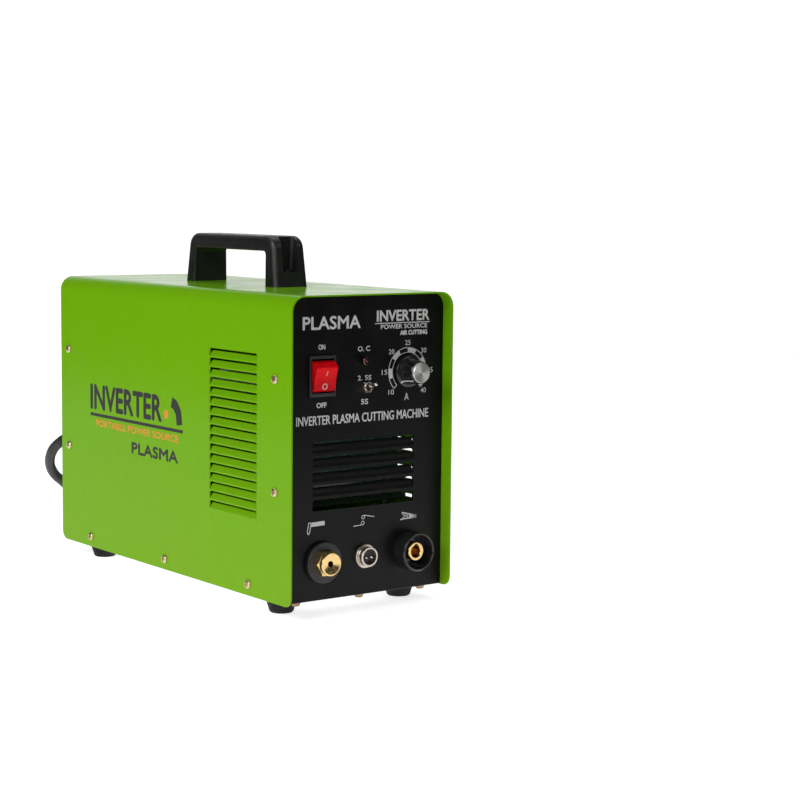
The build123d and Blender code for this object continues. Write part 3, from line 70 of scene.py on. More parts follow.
def make_camera():
    azimuth, elevation, roll = (math.radians(v) for v in CAMERA_ANGLES)
    back = Vector((
        math.sin(azimuth) * math.cos(elevation), -math.cos(azimuth) * math.cos(elevation), math.sin(elevation),
    ))
    level = Vector((math.cos(azimuth), math.sin(azimuth), 0))
    upright = back.cross(level)
    right = math.cos(roll) * level + math.sin(roll) * upright
    up = math.cos(roll) * upright - math.sin(roll) * level
    data = bpy.data.cameras.new("camera")
    data.lens = CAMERA_LENS
    data.sensor_width = CAMERA_SENSOR
    data.clip_start, data.clip_end = CAMERA_NEAR, CAMERA_FAR
    camera = bpy.data.objects.new("camera", data)
    bpy.context.scene.collection.objects.link(camera)
    turn = Matrix((right, up, back)).transposed().to_4x4()
    camera.matrix_world = Matrix.Translation(CAMERA_PLACE) @ turn
    bpy.context.scene.camera = camera


make_camera()


# ---------------------------------------------------------------- objects from points
def add_object(name, data, body="case", material=None):
    piece = bpy.data.objects.new(name, data)
    bpy.context.scene.collection.objects.link(piece)
    if material is not None:
        data.materials.append(material)
    if body is not None:
        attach(piece, body)
    return piece


def mesh_from(name, bm, smooth=False):
    bmesh.ops.recalc_face_normals(bm, faces=bm.faces)
    data = bpy.data.meshes.new(name)
    bm.to_mesh(data)
    bm.free()
    for face in data.polygons:
        face.use_smooth = smooth
    return data


# ---------------------------------------------------------------- shader building
SCUFF_STRETCH = (1, 0.25, 2.2)
SCUFF_LEVEL = 0.62
PRINT_SHADE = 0.78


class Paint:
    """A Principled material, with short calls for colour variation, roughness variation and bumps."""

    def __init__(self, name, colour, rough, metallic=0.0, coat=0.0, specular=0.5):
        self.material = bpy.data.materials.new(name)
        self.material.use_nodes = True
        self.tree = self.material.node_tree
        self.shader = self.tree.nodes["Principled BSDF"]
        self.colour = colour
        self.rough = rough
        self.shader.inputs["Base Color"].default_value = (*colour, 1)
        self.shader.inputs["Roughness"].default_value = rough
        self.shader.inputs["Metallic"].default_value = metallic
        self.shader.inputs["Coat Weight"].default_value = coat
        self.shader.inputs["Coat Roughness"].default_value = 0.08
        self.shader.inputs["Specular IOR Level"].default_value = specular
        self.coordinates = self.add("ShaderNodeTexCoord").outputs["Object"]
        self.normal = None

    def add(self, kind, **values):
        node = self.tree.nodes.new(kind)
        for key, value in values.items():
            setattr(node, key, value)
        return node

    def link(self, a, b):
        self.tree.links.new(a, b)

    def noise(self, scale, detail=3.0, stretch=(1, 1, 1)):
        mapping = self.add("ShaderNodeMapping")
        mapping.inputs["Scale"].default_value = stretch
        self.link(self.coordinates, mapping.inputs["Vector"])
        noise = self.add("ShaderNodeTexNoise")
        noise.inputs["Scale"].default_value = scale
        noise.inputs["Detail"].default_value = detail
        self.link(mapping.outputs["Vector"], noise.inputs["Vector"])
        return noise.outputs["Fac"]

    def ramp(self, value, low, high, from_low=0.35, from_high=0.65):
        spread = self.add("ShaderNodeMapRange")
        numbers = {"From Min": from_low, "From Max": from_high, "To Min": low, "To Max": high}
        for name, number in numbers.items():
            spread.inputs[name].default_value = number
        self.link(value, spread.inputs["Value"])
        return spread.outputs["Result"]

    def mix(self, factor, first, second):
        """Colours mixed by a factor; each is a colour or a socket."""
        mix = self.add("ShaderNodeMix", data_type="RGBA")
        self.link(factor, mix.inputs["Factor"])
        for socket, colour in ((mix.inputs[6], first), (mix.inputs[7], second)):
            if isinstance(colour, tuple):
                socket.default_value = (*colour, 1)
            else:
                self.link(colour, socket)
        return mix.outputs[2]

    def tint(self, other, scale, detail=4.0, amount=1.0, stretch=(1, 1, 1)):
        """Blotches of another colour over the base."""
        factor = self.ramp(self.noise(scale, detail, stretch), 0, amount)
        current = self.shader.inputs["Base Color"]
        first = current.links[0].from_socket if current.links else self.colour
        self.link(self.mix(factor, first, other), current)
        return self

    def fade(self, other, start, end, amount=1.0, axis="Z"):
        """Another colour coming in along an axis, from start to end in millimetres."""
        parts = self.add("ShaderNodeSeparateXYZ")
        self.link(self.coordinates, parts.inputs[0])
        factor = self.ramp(parts.outputs[axis], 0, amount, start * MM, end * MM)
        current = self.shader.inputs["Base Color"]
        first = current.links[0].from_socket if current.links else self.colour
        self.link(self.mix(factor, first, other), current)
        return self

    def rough_by(self, scale, low, high, detail=3.0, stretch=(1, 1, 1)):
        self.link(self.ramp(self.noise(scale, detail, stretch), low, high), self.shader.inputs["Roughness"])
        return self

    def bump(self, scale, height, strength=0.5, detail=2.0, stretch=(1, 1, 1)):
        """Fine relief, height metres deep."""
        node = self.add("ShaderNodeBump")
        node.inputs["Strength"].default_value = strength
        node.inputs["Distance"].default_value = height
        self.link(self.noise(scale, detail, stretch), node.inputs["Height"])
        if self.normal is not None:
            self.link(self.normal, node.inputs["Normal"])
        self.normal = node.outputs["Normal"]
        self.link(self.normal, self.shader.inputs["Normal"])
        return self

    def scuffs(self, colour, scale, width, amount):
        """Thin pale scratches where a stretched noise crosses one value."""
        value = self.noise(scale, 5.0, SCUFF_STRETCH)
        away = self.add("ShaderNodeMath", operation="SUBTRACT")
        away.inputs[1].default_value = SCUFF_LEVEL
        self.link(value, away.inputs[0])
        size = self.add("ShaderNodeMath", operation="ABSOLUTE")
        self.link(away.outputs[0], size.inputs[0])
        factor = self.ramp(size.outputs[0], amount, 0, 0, width)
        current = self.shader.inputs["Base Color"]
        first = current.links[0].from_socket if current.links else self.colour
        self.link(self.mix(factor, first, colour), current)
        return self


GREEN = (0.150, 0.392, 0.003)


def green_paint():
    paint = Paint("green_powder_coat", GREEN, 0.18, specular=0.04)
    # Painted reflection of the pale floor: the colour turns redder towards the bottom, from 190 mm down to 15
    # mm.
    paint.fade((0.185, 0.380, 0.010), 190, 15)
    paint.tint((0.158, 0.400, 0.004), 9, 2.0, 0.5)
    paint.tint((0.128, 0.350, 0.003), 140, 4.0, 0.25)
    paint.rough_by(30, 0.15, 0.22)
    paint.bump(900, 0.01 * MM, 0.2, 2.0)
    paint.bump(6, 0.08 * MM, 0.1, 1.0)
    return paint.material


def black_paint():
    paint = Paint("black_powder_coat", (0.0022, 0.0022, 0.0023), 0.34, specular=0.17)
    paint.tint((0.0036, 0.0035, 0.0036), 14, 3.0)
    paint.tint((0.007, 0.007, 0.0072), 500, 3.0, 0.3)
    paint.rough_by(45, 0.32, 0.42)
    paint.bump(1300, 0.05 * MM, 0.5, 2.0)
    return paint.material


def black_plastic(name="black_plastic", rough=0.38, grain=1500, specular=0.5):
    paint = Paint(name, (0.0085, 0.0085, 0.0090), rough, specular=specular)
    paint.tint((0.014, 0.014, 0.0145), 40, 3.0)
    paint.rough_by(120, rough - 0.06, rough + 0.08)
    paint.bump(grain, 0.04 * MM, 0.4)
    paint.scuffs((0.05, 0.05, 0.05), 70, 0.006, 0.35)
    return paint.material


def rubber():
    paint = Paint("black_rubber", (0.005, 0.005, 0.0051), 0.62, specular=0.25)
    paint.tint((0.011, 0.0107, 0.0104), 55, 4.0)
    paint.rough_by(80, 0.52, 0.74)
    paint.bump(900, 0.06 * MM, 0.5)
    return paint.material


def cord_sheath():
    paint = Paint("cord_sheath", (0.010, 0.010, 0.0102), 0.45, specular=0.4)
    paint.tint((0.019, 0.019, 0.019), 35, 4.0)
    paint.rough_by(60, 0.36, 0.55)
    paint.bump(700, 0.05 * MM, 0.4)
    return paint.material


def metal(name, colour, other, rough, scale=300, stretch=(1, 1, 1)):
    paint = Paint(name, colour, rough, metallic=1.0)
    paint.tint(other, scale / 4, 4.0, 0.7)
    paint.rough_by(scale, max(rough - 0.07, 0.03), rough + 0.1, 3.0, stretch)
    paint.bump(scale * 3, 0.004 * MM, 0.25, 2.0, stretch)
    return paint.material


def brass():
    paint = Paint("brass", (0.86, 0.62, 0.27), 0.24, metallic=1.0)
    paint.tint((0.74, 0.48, 0.18), 160, 5.0, 0.4)
    paint.rough_by(300, 0.19, 0.31, 3.0, (1, 4, 1))
    paint.bump(700, 0.003 * MM, 0.2, 2.0, (1, 5, 1))
    return paint.material


def red_plastic():
    paint = Paint("red_rocker", (0.86, 0.003, 0.008), 0.24, specular=0.08)
    # Painted shade: the paddle turns darker red towards its bottom, from 198 mm down to 176 mm, so its top
    # reads as the lit side.
    paint.fade((0.46, 0.002, 0.006), 198, 176)
    paint.tint((0.80, 0.006, 0.012), 220, 2.0, 0.3)
    paint.rough_by(200, 0.17, 0.28)
    paint.bump(1200, 0.01 * MM, 0.3)
    return paint.material


def printed(name, colour):
    paint = Paint(name, colour, 0.55)
    low = tuple(c * PRINT_SHADE for c in colour)
    paint.tint(low, 420, 3.0, 0.6)
    paint.bump(1800, 0.02 * MM, 0.4)
    return paint.material


def circuit_board():
    paint = Paint("circuit_board", (0.01, 0.09, 0.035), 0.35, coat=0.3)
    paint.tint((0.03, 0.17, 0.06), 350, 1.0)
    paint.tint((0.5, 0.5, 0.45), 900, 0.0, 0.3)
    paint.bump(500, 0.05 * MM, 0.4)
    return paint.material


def copper():
    paint = Paint("enamelled_copper", (0.62, 0.24, 0.09), 0.25, metallic=1.0)
    paint.tint((0.42, 0.14, 0.05), 90, 4.0)
    paint.bump(420, 0.3 * MM, 0.6, 0.0, (0.2, 0.2, 3))
    return paint.material


def lamp_material():
    paint = Paint("lamp_lens", (0.16, 0.02, 0.012), 0.14, coat=0.3)
    paint.tint((0.24, 0.04, 0.03), 600, 2.0)
    paint.bump(900, 0.02 * MM, 0.3)
    return paint.material


# Painted highlight and painted shade of the spun cap: base colours set in sectors round its axis.
SPUN_PAINTED_SHADE, SPUN_PAINTED_HIGHLIGHT = (0.42, 0.40, 0.38), (1.0, 0.98, 0.96)
SPUN_HIGHLIGHT_FANS, SPUN_HIGHLIGHT_TURN = 2.0, 1.2
SPUN_RINGS = 9000


def spun_aluminium():
    """A turned face: fine rings round the knob's axis, and a painted highlight: pale and dark sectors of base
    colour round it, in place of the spun metal's reflections.
    """
    paint = Paint("spun_aluminium", (0.80, 0.79, 0.78), 0.32, metallic=0.65)
    middle = centre_of("knob_cap")
    shift = paint.add("ShaderNodeVectorMath", operation="SUBTRACT")
    shift.inputs[1].default_value = middle
    paint.link(paint.coordinates, shift.inputs[0])
    parts = paint.add("ShaderNodeSeparateXYZ")
    paint.link(shift.outputs[0], parts.inputs[0])
    angle = paint.add("ShaderNodeMath", operation="ARCTAN2")
    paint.link(parts.outputs["Z"], angle.inputs[0])
    paint.link(parts.outputs["X"], angle.inputs[1])
    double = paint.add("ShaderNodeMath", operation="MULTIPLY_ADD")
    double.inputs[1].default_value = SPUN_HIGHLIGHT_FANS
    double.inputs[2].default_value = SPUN_HIGHLIGHT_TURN
    paint.link(angle.outputs[0], double.inputs[0])
    wave = paint.add("ShaderNodeMath", operation="COSINE")
    paint.link(double.outputs[0], wave.inputs[0])
    # Painted highlight: pale sectors and dark sectors by angle round the axis.
    painted_highlight = paint.ramp(wave.outputs[0], 0.0, 1.0, -0.7, 0.9)
    paint.link(paint.mix(painted_highlight, SPUN_PAINTED_SHADE, SPUN_PAINTED_HIGHLIGHT), paint.shader.inputs["Base Color"])
    length = paint.add("ShaderNodeVectorMath", operation="LENGTH")
    paint.link(shift.outputs[0], length.inputs[0])
    rings = paint.add("ShaderNodeTexNoise", noise_dimensions="1D")
    rings.inputs["Scale"].default_value = SPUN_RINGS
    paint.link(length.outputs["Value"], rings.inputs["W"])
    relief = paint.add("ShaderNodeBump")
    relief.inputs["Distance"].default_value = 0.001 * MM
    relief.inputs["Strength"].default_value = 0.1
    paint.link(rings.outputs["Fac"], relief.inputs["Height"])
    paint.link(relief.outputs["Normal"], paint.shader.inputs["Normal"])
    paint.shader.inputs["Anisotropic"].default_value = 0.6
    return paint.material


MATERIALS = {
    "green": green_paint(),
    "panel": black_paint(),
    "plastic": black_plastic(),
    "handle": black_plastic("handle_plastic", 0.36, 900),
    "housing": black_plastic("housing_plastic", 0.5, 1200, 0.6),
    "knob": black_plastic("knob_bakelite", 0.16, 2500),
    "rubber": rubber(),
    "sheath": cord_sheath(),
    "yellow_zinc": metal("yellow_zinc", (0.66, 0.56, 0.36), (0.56, 0.42, 0.22), 0.28),
    "zinc": metal("bright_zinc", (0.62, 0.63, 0.65), (0.50, 0.51, 0.54), 0.34, 120),
    "nickel": metal("nickel", (0.78, 0.73, 0.66), (0.66, 0.60, 0.52), 0.17),
    "socket_nickel": metal("socket_nickel", (0.66, 0.60, 0.53), (0.55, 0.50, 0.44), 0.3),
    "smoked": metal("smoked_chrome", (0.16, 0.12, 0.11), (0.09, 0.07, 0.06), 0.22),
    "bronze": metal("bronze_zinc", (0.42, 0.28, 0.18), (0.30, 0.19, 0.12), 0.34),
    "black_oxide": metal("black_oxide", (0.030, 0.030, 0.032), (0.018, 0.018, 0.019), 0.4),
    "steel": metal("steel_wire", (0.70, 0.70, 0.71), (0.60, 0.60, 0.61), 0.2),
    "aluminium": metal("aluminium", (0.78, 0.78, 0.79), (0.68, 0.68, 0.69), 0.35, 200, (1, 8, 1)),
    "spun": spun_aluminium(),
    "brass": brass(),
    "red": red_plastic(),
    "white": printed("white_print", (0.62, 0.62, 0.62)),
    "black_print": printed("black_print", (0.012, 0.012, 0.010)),
    "orange_print": printed("orange_print", (0.72, 0.28, 0.02)),
    "board": circuit_board(),
    "copper": copper(),
    "ferrite": black_plastic("ferrite", 0.6, 700),
    "lens": lamp_material(),
}

NODE_MATERIALS = {
    "green": ["cover_shell"],
    "panel": ["front_panel", "rear_panel"],
    "zinc": ["base_plate", "board_standoffs", "potentiometer"],
    "yellow_zinc": ["cover_screws", "foot_fasteners", "fan_screws"],
    "handle": ["handle"],
    "housing": ["rocker_housing", "torch_insulator"],
    "plastic": ["trigger_socket_insert", "filter_capacitors", "bridge_rectifier", "valve_coil", "fan_frame",
                "fan_rotor", "cord_gland"],
    "knob": ["knob_body", "work_socket_collar"],
    "rubber": ["air_hoses", "strain_relief", "mains_plug", "foot_front_left", "foot_front_right",
               "foot_rear_left", "foot_rear_right", "cord_tie"],
    "sheath": ["mains_cord", "mains_cord_coil"],
    "smoked": ["lamp_bezel"],
    "bronze": ["panel_screws"],
    "black_oxide": ["handle_fasteners"],
    "nickel": ["toggle_body", "toggle_lever", "control_nuts", "trigger_socket_pins"],
    "socket_nickel": ["trigger_socket_shell"],
    "steel": ["fan_guard", "valve_plunger", "valve_spring"],
    "aluminium": ["knob_shaft", "heatsinks"],
    "spun": ["knob_cap"],
    "brass": ["torch_connector", "work_socket_contact", "socket_nuts", "rocker_terminals",
              "valve_body", "air_inlet_fitting"],
    "red": ["rocker_paddle"],
    "white": ["knob_pointer"],
    "board": ["control_board", "power_board"],
    "copper": ["transformer_winding", "inductor_winding"],
    "ferrite": ["transformer_core", "inductor_core"],
    "lens": ["lamp_lens"],
}

for key, names in NODE_MATERIALS.items():
    for name in names:
        data = nodes[name].data
        data.materials.clear()
        data.materials.append(MATERIALS[key])


# ---------------------------------------------------------------- mains cord
CORD_DIAMETER = 9.5 * MM
CORD_FLOOR = 4.8
COIL_CENTRE = (74.2, 306.2)
COIL_OUTER, COIL_INNER = 59.0, 49.5
COIL_START = 224.4
COIL_TURN = 1780.6
COIL_STEP = 18.0

LEAD_ROUTE = [
    (-50.5, 200, 98.5),
    (-50.5, 213, 98.5),
    (-53, 232, 95),
    (-55.5, 248, 85),
    (-52, 262.5, 70.5),
    (-41.5, 274, 57),
    (-25.5, 281, 46),
    (-13, 282.5, 32.5),
    (-1, 277.5, 18),
    (13.5, 270, 9),
]
TAIL_ROUTE = [
    (28, 265, 34),
    (35.7, 249.8, 31.5),
    (46.7, 237.5, 25.5),
    (60.7, 228.8, 21.2),
    (76.6, 224.3, 18.6),
    (92.6, 224.3, 18.6),
]
# Where the coil crosses between its rings and climbs a layer: (turned from, turned to, radius, layer) after it.
COIL_STAGES = [
    (0, 0, COIL_OUTER, 0),
    (305, 350, COIL_INNER, 0),
    (620, 665, COIL_INNER, 1),
    (935, 980, COIL_OUTER, 1),
    (1250, 1295, COIL_OUTER, 2),
    (1565, 1610, COIL_OUTER, 3),
]


def coil_place(turned):
    """(radius, height) in millimetres of the cord's middle, so far round the coil."""
    radius, layer = COIL_STAGES[0][2:]
    for start, end, next_radius, next_layer in COIL_STAGES[1:]:
        share = min(max((turned - start) / (end - start), 0), 1)
        share = share * share * (3 - 2 * share)
        radius += (next_radius - radius) * share
        layer += (next_layer - layer) * share
    return radius, CORD_FLOOR + layer * CORD_DIAMETER / MM


def cord_points():
    points = list(LEAD_ROUTE)
    count = round(COIL_TURN / COIL_STEP)
    for i in range(count + 1):
        turned = COIL_TURN * i / count
        radius, height = coil_place(turned)
        radius /= math.cos(math.radians(COIL_STEP) / 2)
        angle = math.radians(COIL_START + turned)
        points.append((
            COIL_CENTRE[0] + radius * math.cos(angle), COIL_CENTRE[1] + radius * math.sin(angle), height,
        ))
    return [Vector(p) * MM for p in points + TAIL_ROUTE]


def spline_curve(name, points, bevel):
    curve = bpy.data.curves.new(name, "CURVE")
    curve.dimensions = "3D"
    spline = curve.splines.new("NURBS")
    spline.points.add(len(points) - 1)
    for target, point in zip(spline.points, points):
        target.co = (*point, 1)
    spline.order_u = 3
    spline.use_endpoint_u = True
    spline.resolution_u = 8
    curve.bevel_depth = bevel
    curve.bevel_resolution = 6
    return curve


def centreline(points):
    """The cord's own line, as points read from its spline."""
    bare = bpy.data.objects.new("bare", spline_curve("bare", points, 0))
    data = bpy.data.meshes.new_from_object(bare)
    line = [v.co.copy() for v in data.vertices]
    bpy.data.objects.remove(bare)
    return line


TUBE_SIDES = 24


def swept(name, line, radii):
    """A round tube of changing radius along a line of points, closed at its ends."""
    bm = bmesh.new()
    rings = []
    side = Vector((1, 0, 0))
    for i, point in enumerate(line):
        ahead = (line[min(i + 1, len(line) - 1)] - line[max(i - 1, 0)]).normalized()
        side = (side - ahead * side.dot(ahead)).normalized()
        across = ahead.cross(side)
        ring = []
        for k in range(TUBE_SIDES):
            angle = 2 * math.pi * k / TUBE_SIDES
            ring.append(bm.verts.new(point + radii[i] * (math.cos(angle) * side + math.sin(angle) * across)))
        rings.append(ring)
    for first, second in zip(rings, rings[1:]):
        for k in range(TUBE_SIDES):
            after = (k + 1) % TUBE_SIDES
            bm.faces.new((first[k], first[after], second[after], second[k]))
    bm.faces.new(rings[0][::-1])
    bm.faces.new(rings[-1])
    return mesh_from(name, bm, True)


def stretch_of(line, end, step):
    """Evenly spaced points along a line, from its start to a length."""
    points, gone, target = [], 0.0, 0.0
    for a, b in zip(line, line[1:]):
        length = (b - a).length
        while target <= gone + length and target <= end:
            points.append(a.lerp(b, (target - gone) / length))
            target += step
        gone += length
    return points


RELIEF_LENGTH = 34 * MM
RELIEF_STEP = 0.6 * MM
RELIEF_ROOT = 4 * MM
RELIEF_RADIUS, RELIEF_TAPER = 7.0, 1.7
RELIEF_RIBS = 6
RELIEF_RIBBED = (0.15, 0.85)
GROOVE_DEPTH = 0.9
GROOVE_WAVE = -0.35


def relief_radius(share):
    """The relief's taper, with ring grooves along its middle."""
    radius = RELIEF_RADIUS - RELIEF_TAPER * share
    ribbed = RELIEF_RIBBED[0] < share < RELIEF_RIBBED[1]
    if ribbed and math.sin(share * RELIEF_RIBS * 2 * math.pi) < GROOVE_WAVE:
        radius -= GROOVE_DEPTH
    return radius * MM


def make_cord():
    points = cord_points()
    cord = add_object("mains_cord_tube", spline_curve("mains_cord_tube", points, CORD_DIAMETER / 2), "case",
                      MATERIALS["sheath"])
    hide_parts("mains_cord", "mains_cord_coil")
    line = centreline(points)
    along = stretch_of(line, RELIEF_LENGTH, RELIEF_STEP)
    along = [along[0] - Vector((0, RELIEF_ROOT, 0))] + along
    radii = [relief_radius(i / (len(along) - 1)) for i in range(len(along))]
    relief = add_object("strain_relief_sleeve", swept("strain_relief_sleeve", along, radii), "case",
                        MATERIALS["rubber"])
    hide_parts("strain_relief")


make_cord()


# ---------------------------------------------------------------- printing
FACES = {
    "front": (Vector((1, 0, 0)), Vector((0, 0, 1)), Vector((0, FRONT_Y, 0))),
    "left": (Vector((0, -1, 0)), Vector((0, 0, 1)), Vector((LEFT_X, 0, 0))),
    "right": (Vector((0, 1, 0)), Vector((0, 0, 1)), Vector((RIGHT_X, 0, 0))),
}


def on_face(face, u, v, lift=0.0):
    """A point at (u, v) millimetres on a printed face, lifted off it by metres."""
    along, up, origin = FACES[face]
    return origin + along * u * MM + up * v * MM + along.cross(up) * lift


def letters(name, words, face, left, right, bottom, top, material, bold=0.0):
    """Words as a thin raised print that fills a box on a face, in millimetres; bold widens every stroke."""
    curve = bpy.data.curves.new(name, "FONT")
    curve.body = words
    curve.size = 1
    curve.resolution_u = 3
    curve.extrude = 0.5
    text = bpy.data.objects.new(name, curve)
    data = bpy.data.meshes.new_from_object(text)
    bpy.data.objects.remove(text)
    xs = [v.co.x for v in data.vertices]
    ys = [v.co.y for v in data.vertices]
    wide = (right - left - 2 * bold) / (max(xs) - min(xs))
    high = (top - bottom - 2 * bold) / (max(ys) - min(ys))
    low_x, low_y = min(xs), min(ys)
    shifts = [(0, 0), (-bold, 0), (bold, 0), (0, -bold), (0, bold)] if bold else [(0, 0)]
    bm = bmesh.new()
    for i, (du, dv) in enumerate(shifts):
        copy = data.copy()
        for vertex in copy.vertices:
            u = left + bold + (vertex.co.x - low_x) * wide + du
            v = bottom + bold + (vertex.co.y - low_y) * high + dv
            vertex.co = on_face(face, u, v, (PRINT + i * PRINT_STEP) * (vertex.co.z + 0.5))
        bm.from_mesh(copy)
        bpy.data.meshes.remove(copy)
    bmesh.ops.remove_doubles(bm, verts=bm.verts, dist=WELD)
    return add_object(name, mesh_from(name, bm), "case", material)


MITRE_LIMIT = 0.4


def ribbon(bm, place, points, width, closed=False):
    """A flat stroke of even width through (u, v) points, with mitred corners."""
    pts = [Vector(p) for p in points]
    count = len(pts)
    left, right = [], []
    for i, point in enumerate(pts):
        before = pts[(i - 1) % count] if closed or i > 0 else None
        after = pts[(i + 1) % count] if closed or i < count - 1 else None
        sides = [(a, b) for a, b in ((before, point), (point, after)) if a is not None and b is not None]
        directions = [(b - a).normalized() for a, b in sides]
        normals = [Vector((-d.y, d.x)) for d in directions]
        normal = sum(normals, Vector((0, 0))).normalized()
        reach = width / 2 / max(normal.dot(normals[0]), MITRE_LIMIT)
        left.append(point + normal * reach)
        right.append(point - normal * reach)
    low = [[bm.verts.new(place(p.x, p.y, 0)) for p in row] for row in (left, right)]
    high = [[bm.verts.new(place(p.x, p.y, PRINT)) for p in row] for row in (left, right)]
    steps = range(count if closed else count - 1)
    for i in steps:
        j = (i + 1) % count
        bm.faces.new((high[0][i], high[0][j], high[1][j], high[1][i]))
        bm.faces.new((low[0][i], low[1][i], low[1][j], low[0][j]))
        bm.faces.new((low[0][i], low[0][j], high[0][j], high[0][i]))
        bm.faces.new((low[1][i], high[1][i], high[1][j], low[1][j]))
    if not closed:
        for i in (0, count - 1):
            bm.faces.new((low[0][i], high[0][i], high[1][i], low[1][i]))


def strokes(name, face, lines, material):
    """Several strokes as one print; each is (points, width, closed)."""
    bm = bmesh.new()
    for points, width, closed in lines:
        ribbon(bm, partial(on_face, face), points, width, closed)
    return add_object(name, mesh_from(name, bm), "case", material)


def arc(x, y, radius, start, end, steps=24):
    """Points of an arc; angles are clockwise from straight up, in degrees."""
    points = []
    for i in range(steps + 1):
        angle = math.radians(start + (end - start) * i / steps)
        points.append((x + radius * math.sin(angle), y + radius * math.cos(angle)))
    return points


WHITE, WHITE_SLOT = MATERIALS["white"], "white_mark"


def front_words():
    rows = [
        ("title", "PLASMA", -60, -5.5, 222.8, 233.2, 0.30),
        ("series", "INVERTER", 10, 62, 227.2, 236.2, 0.35),
        ("series_line", "POWER SOURCE", 14, 60, 221.3, 224.9, 0.10),
        ("series_note", "AIR CUTTING", 33, 60, 216.0, 219.9, 0.22),
        ("on", "ON", -45.3, -38.9, 207.5, 211.6, 0.15),
        ("off", "OFF", -46.8, -37.4, 162.7, 166.8, 0.15),
        ("lamp_name", "O. C", -8, 3.6, 204.8, 208.8, 0.10),
        ("flow_short", "2. 5S", -8.0, 5.2, 182.0, 186.0, 0.10),
        ("flow_long", "5S", -4.6, 2.2, 163.2, 167.4, 0.10),
        ("machine", "INVERTER PLASMA CUTTING MACHINE", -65.6, 62, 149.5, 156.8, 0.12),
        ("amperes", "A", 37.8, 42.2, 164.2, 169.8, 0.0),
    ]
    for name, words, left, right, bottom, top, bold in rows:
        letters("print_" + name, words, "front", left, right, bottom, top, WHITE, bold)
    strokes("print_series_rule", "front", [([(8.5, 225.9), (62.5, 225.9)], 0.7, False)], WHITE)


DIAL_START = -135
DIAL_CELL = 27
DIAL_CELLS = 10
DIAL_INNER, DIAL_OUTER = 14.9, 18.7
DIAL_LINE, DIAL_END_LINE, DIAL_END_REACH = 0.55, 0.6, 0.2
NUMBER_RADIUS, NUMBER_HALF_WIDTH, NUMBER_HALF_HEIGHT = 22.6, 2.7, 2.0
DIAL_NUMBERS = {10: -135, 15: -90, 20: -45, 25: 0, 30: 45, 35: 90, 40: 135}


def dial():
    x, z = centre_of("knob_cap").x / MM, centre_of("knob_cap").z / MM
    end = DIAL_START + DIAL_CELLS * DIAL_CELL
    ends = DIAL_INNER - DIAL_END_REACH, DIAL_OUTER + DIAL_END_REACH
    lines = []
    for radius in (DIAL_INNER, DIAL_OUTER):
        lines.append((arc(x, z, radius, DIAL_START, end, 60), DIAL_LINE, False))
    for angle in (DIAL_START, end):
        lines.append(([arc(x, z, r, angle, angle, 1)[0] for r in ends], DIAL_END_LINE, False))
    for i in range(1, DIAL_CELLS, 2):
        first = DIAL_START + i * DIAL_CELL
        filled = arc(x, z, (DIAL_INNER + DIAL_OUTER) / 2, first, first + DIAL_CELL, 12)
        lines.append((filled, DIAL_OUTER - DIAL_INNER, False))
    strokes("print_dial", "front", lines, WHITE)
    for number, angle in DIAL_NUMBERS.items():
        u, v = arc(x, z, NUMBER_RADIUS, angle, angle, 1)[0]
        letters(f"print_dial_{number}", str(number), "front", u - NUMBER_HALF_WIDTH, u + NUMBER_HALF_WIDTH,
                v - NUMBER_HALF_HEIGHT, v + NUMBER_HALF_HEIGHT, WHITE)


def socket_icons():
    torch = [
        ([(-51.5, 72.6), (-38.5, 72.9)], 3.4, False),
        ([(-53.4, 74.2), (-51.4, 74.0), (-52.6, 66.4), (-53.8, 65.2), (-54.8, 67.0)], 0.7, True),
    ]
    wires = [
        ([(-11.0, 67.6), (-3.6, 67.9), *arc(-2.0, 69.4, 1.4, 225, -135, 20)], 0.6, False),
        ([(9.2, 73.5), (-0.4, 75.4), *arc(-1.6, 74.0, 1.4, 20, 380, 20)], 0.6, False),
    ]
    clamp = [
        ([(36.4, 74.2), (39.6, 73.4), (50.6, 70.8)], 1.0, False),
        ([(35.0, 68.6), (39.0, 69.0), (50.6, 69.3)], 1.0, False),
        ([(36.8, 72.6), (40.6, 71.4), (37.4, 70.0)], 0.6, False),
        ([(41.2, 72.0), (42.8, 70.6), (41.4, 69.6)], 0.6, False),
        ([(44.0, 70.7), (51.0, 70.0)], 2.3, False),
    ]
    for name, lines in (("torch", torch), ("trigger", wires), ("clamp", clamp)):
        strokes("print_icon_" + name, "front", lines, WHITE)


# Where the words start on each side, in millimetres along its face; both sides have the same heights.
SIDE_START = {"left": -131.0, "right": -27.0}
RULE_HEIGHT, RULE_LENGTH, RULE_WIDTH = 131.0, 157.8, 2.7
SPARK_PLACE, SPARK_RADIUS, SPARK_STROKE = (131, 143), 1.9, 3.8
HOOD = [(140, 154), (146, 152), (151, 146), (152.5, 136)]
HOOD_STROKE = 9.0


def side_words():
    black, orange = MATERIALS["black_print"], MATERIALS["orange_print"]
    for face, start in SIDE_START.items():
        rows = [
            ("name", "INVERTER", 0, 124, 135.4, 158.0, black, "black_panel", 0.9),
            ("note", "PORTABLE POWER SOURCE", 10, 151, 121.0, 127.2, orange, "brass", 0.25),
            ("kind", "PLASMA", 73, 150, 103.6, 113.9, black, "black_panel", 0.5),
        ]
        for name, words, left, right, bottom, top, material, slot, bold in rows:
            letters(f"print_{face}_{name}", words, face, start + left, start + right, bottom, top,
                    material, bold)
        rule = [(start, RULE_HEIGHT), (start + RULE_LENGTH, RULE_HEIGHT)]
        spark = arc(start + SPARK_PLACE[0], SPARK_PLACE[1], SPARK_RADIUS, 0, 350, 20)
        hood = [(start + u, v) for u, v in HOOD]
        strokes(f"print_{face}_rule", face, [(rule, RULE_WIDTH, False)], black)
        strokes(f"print_{face}_spark", face, [(spark, SPARK_STROKE, True)], orange)
        strokes(f"print_{face}_hood", face, [(hood, HOOD_STROKE, False)], black)


front_words()
dial()
socket_icons()
side_words()


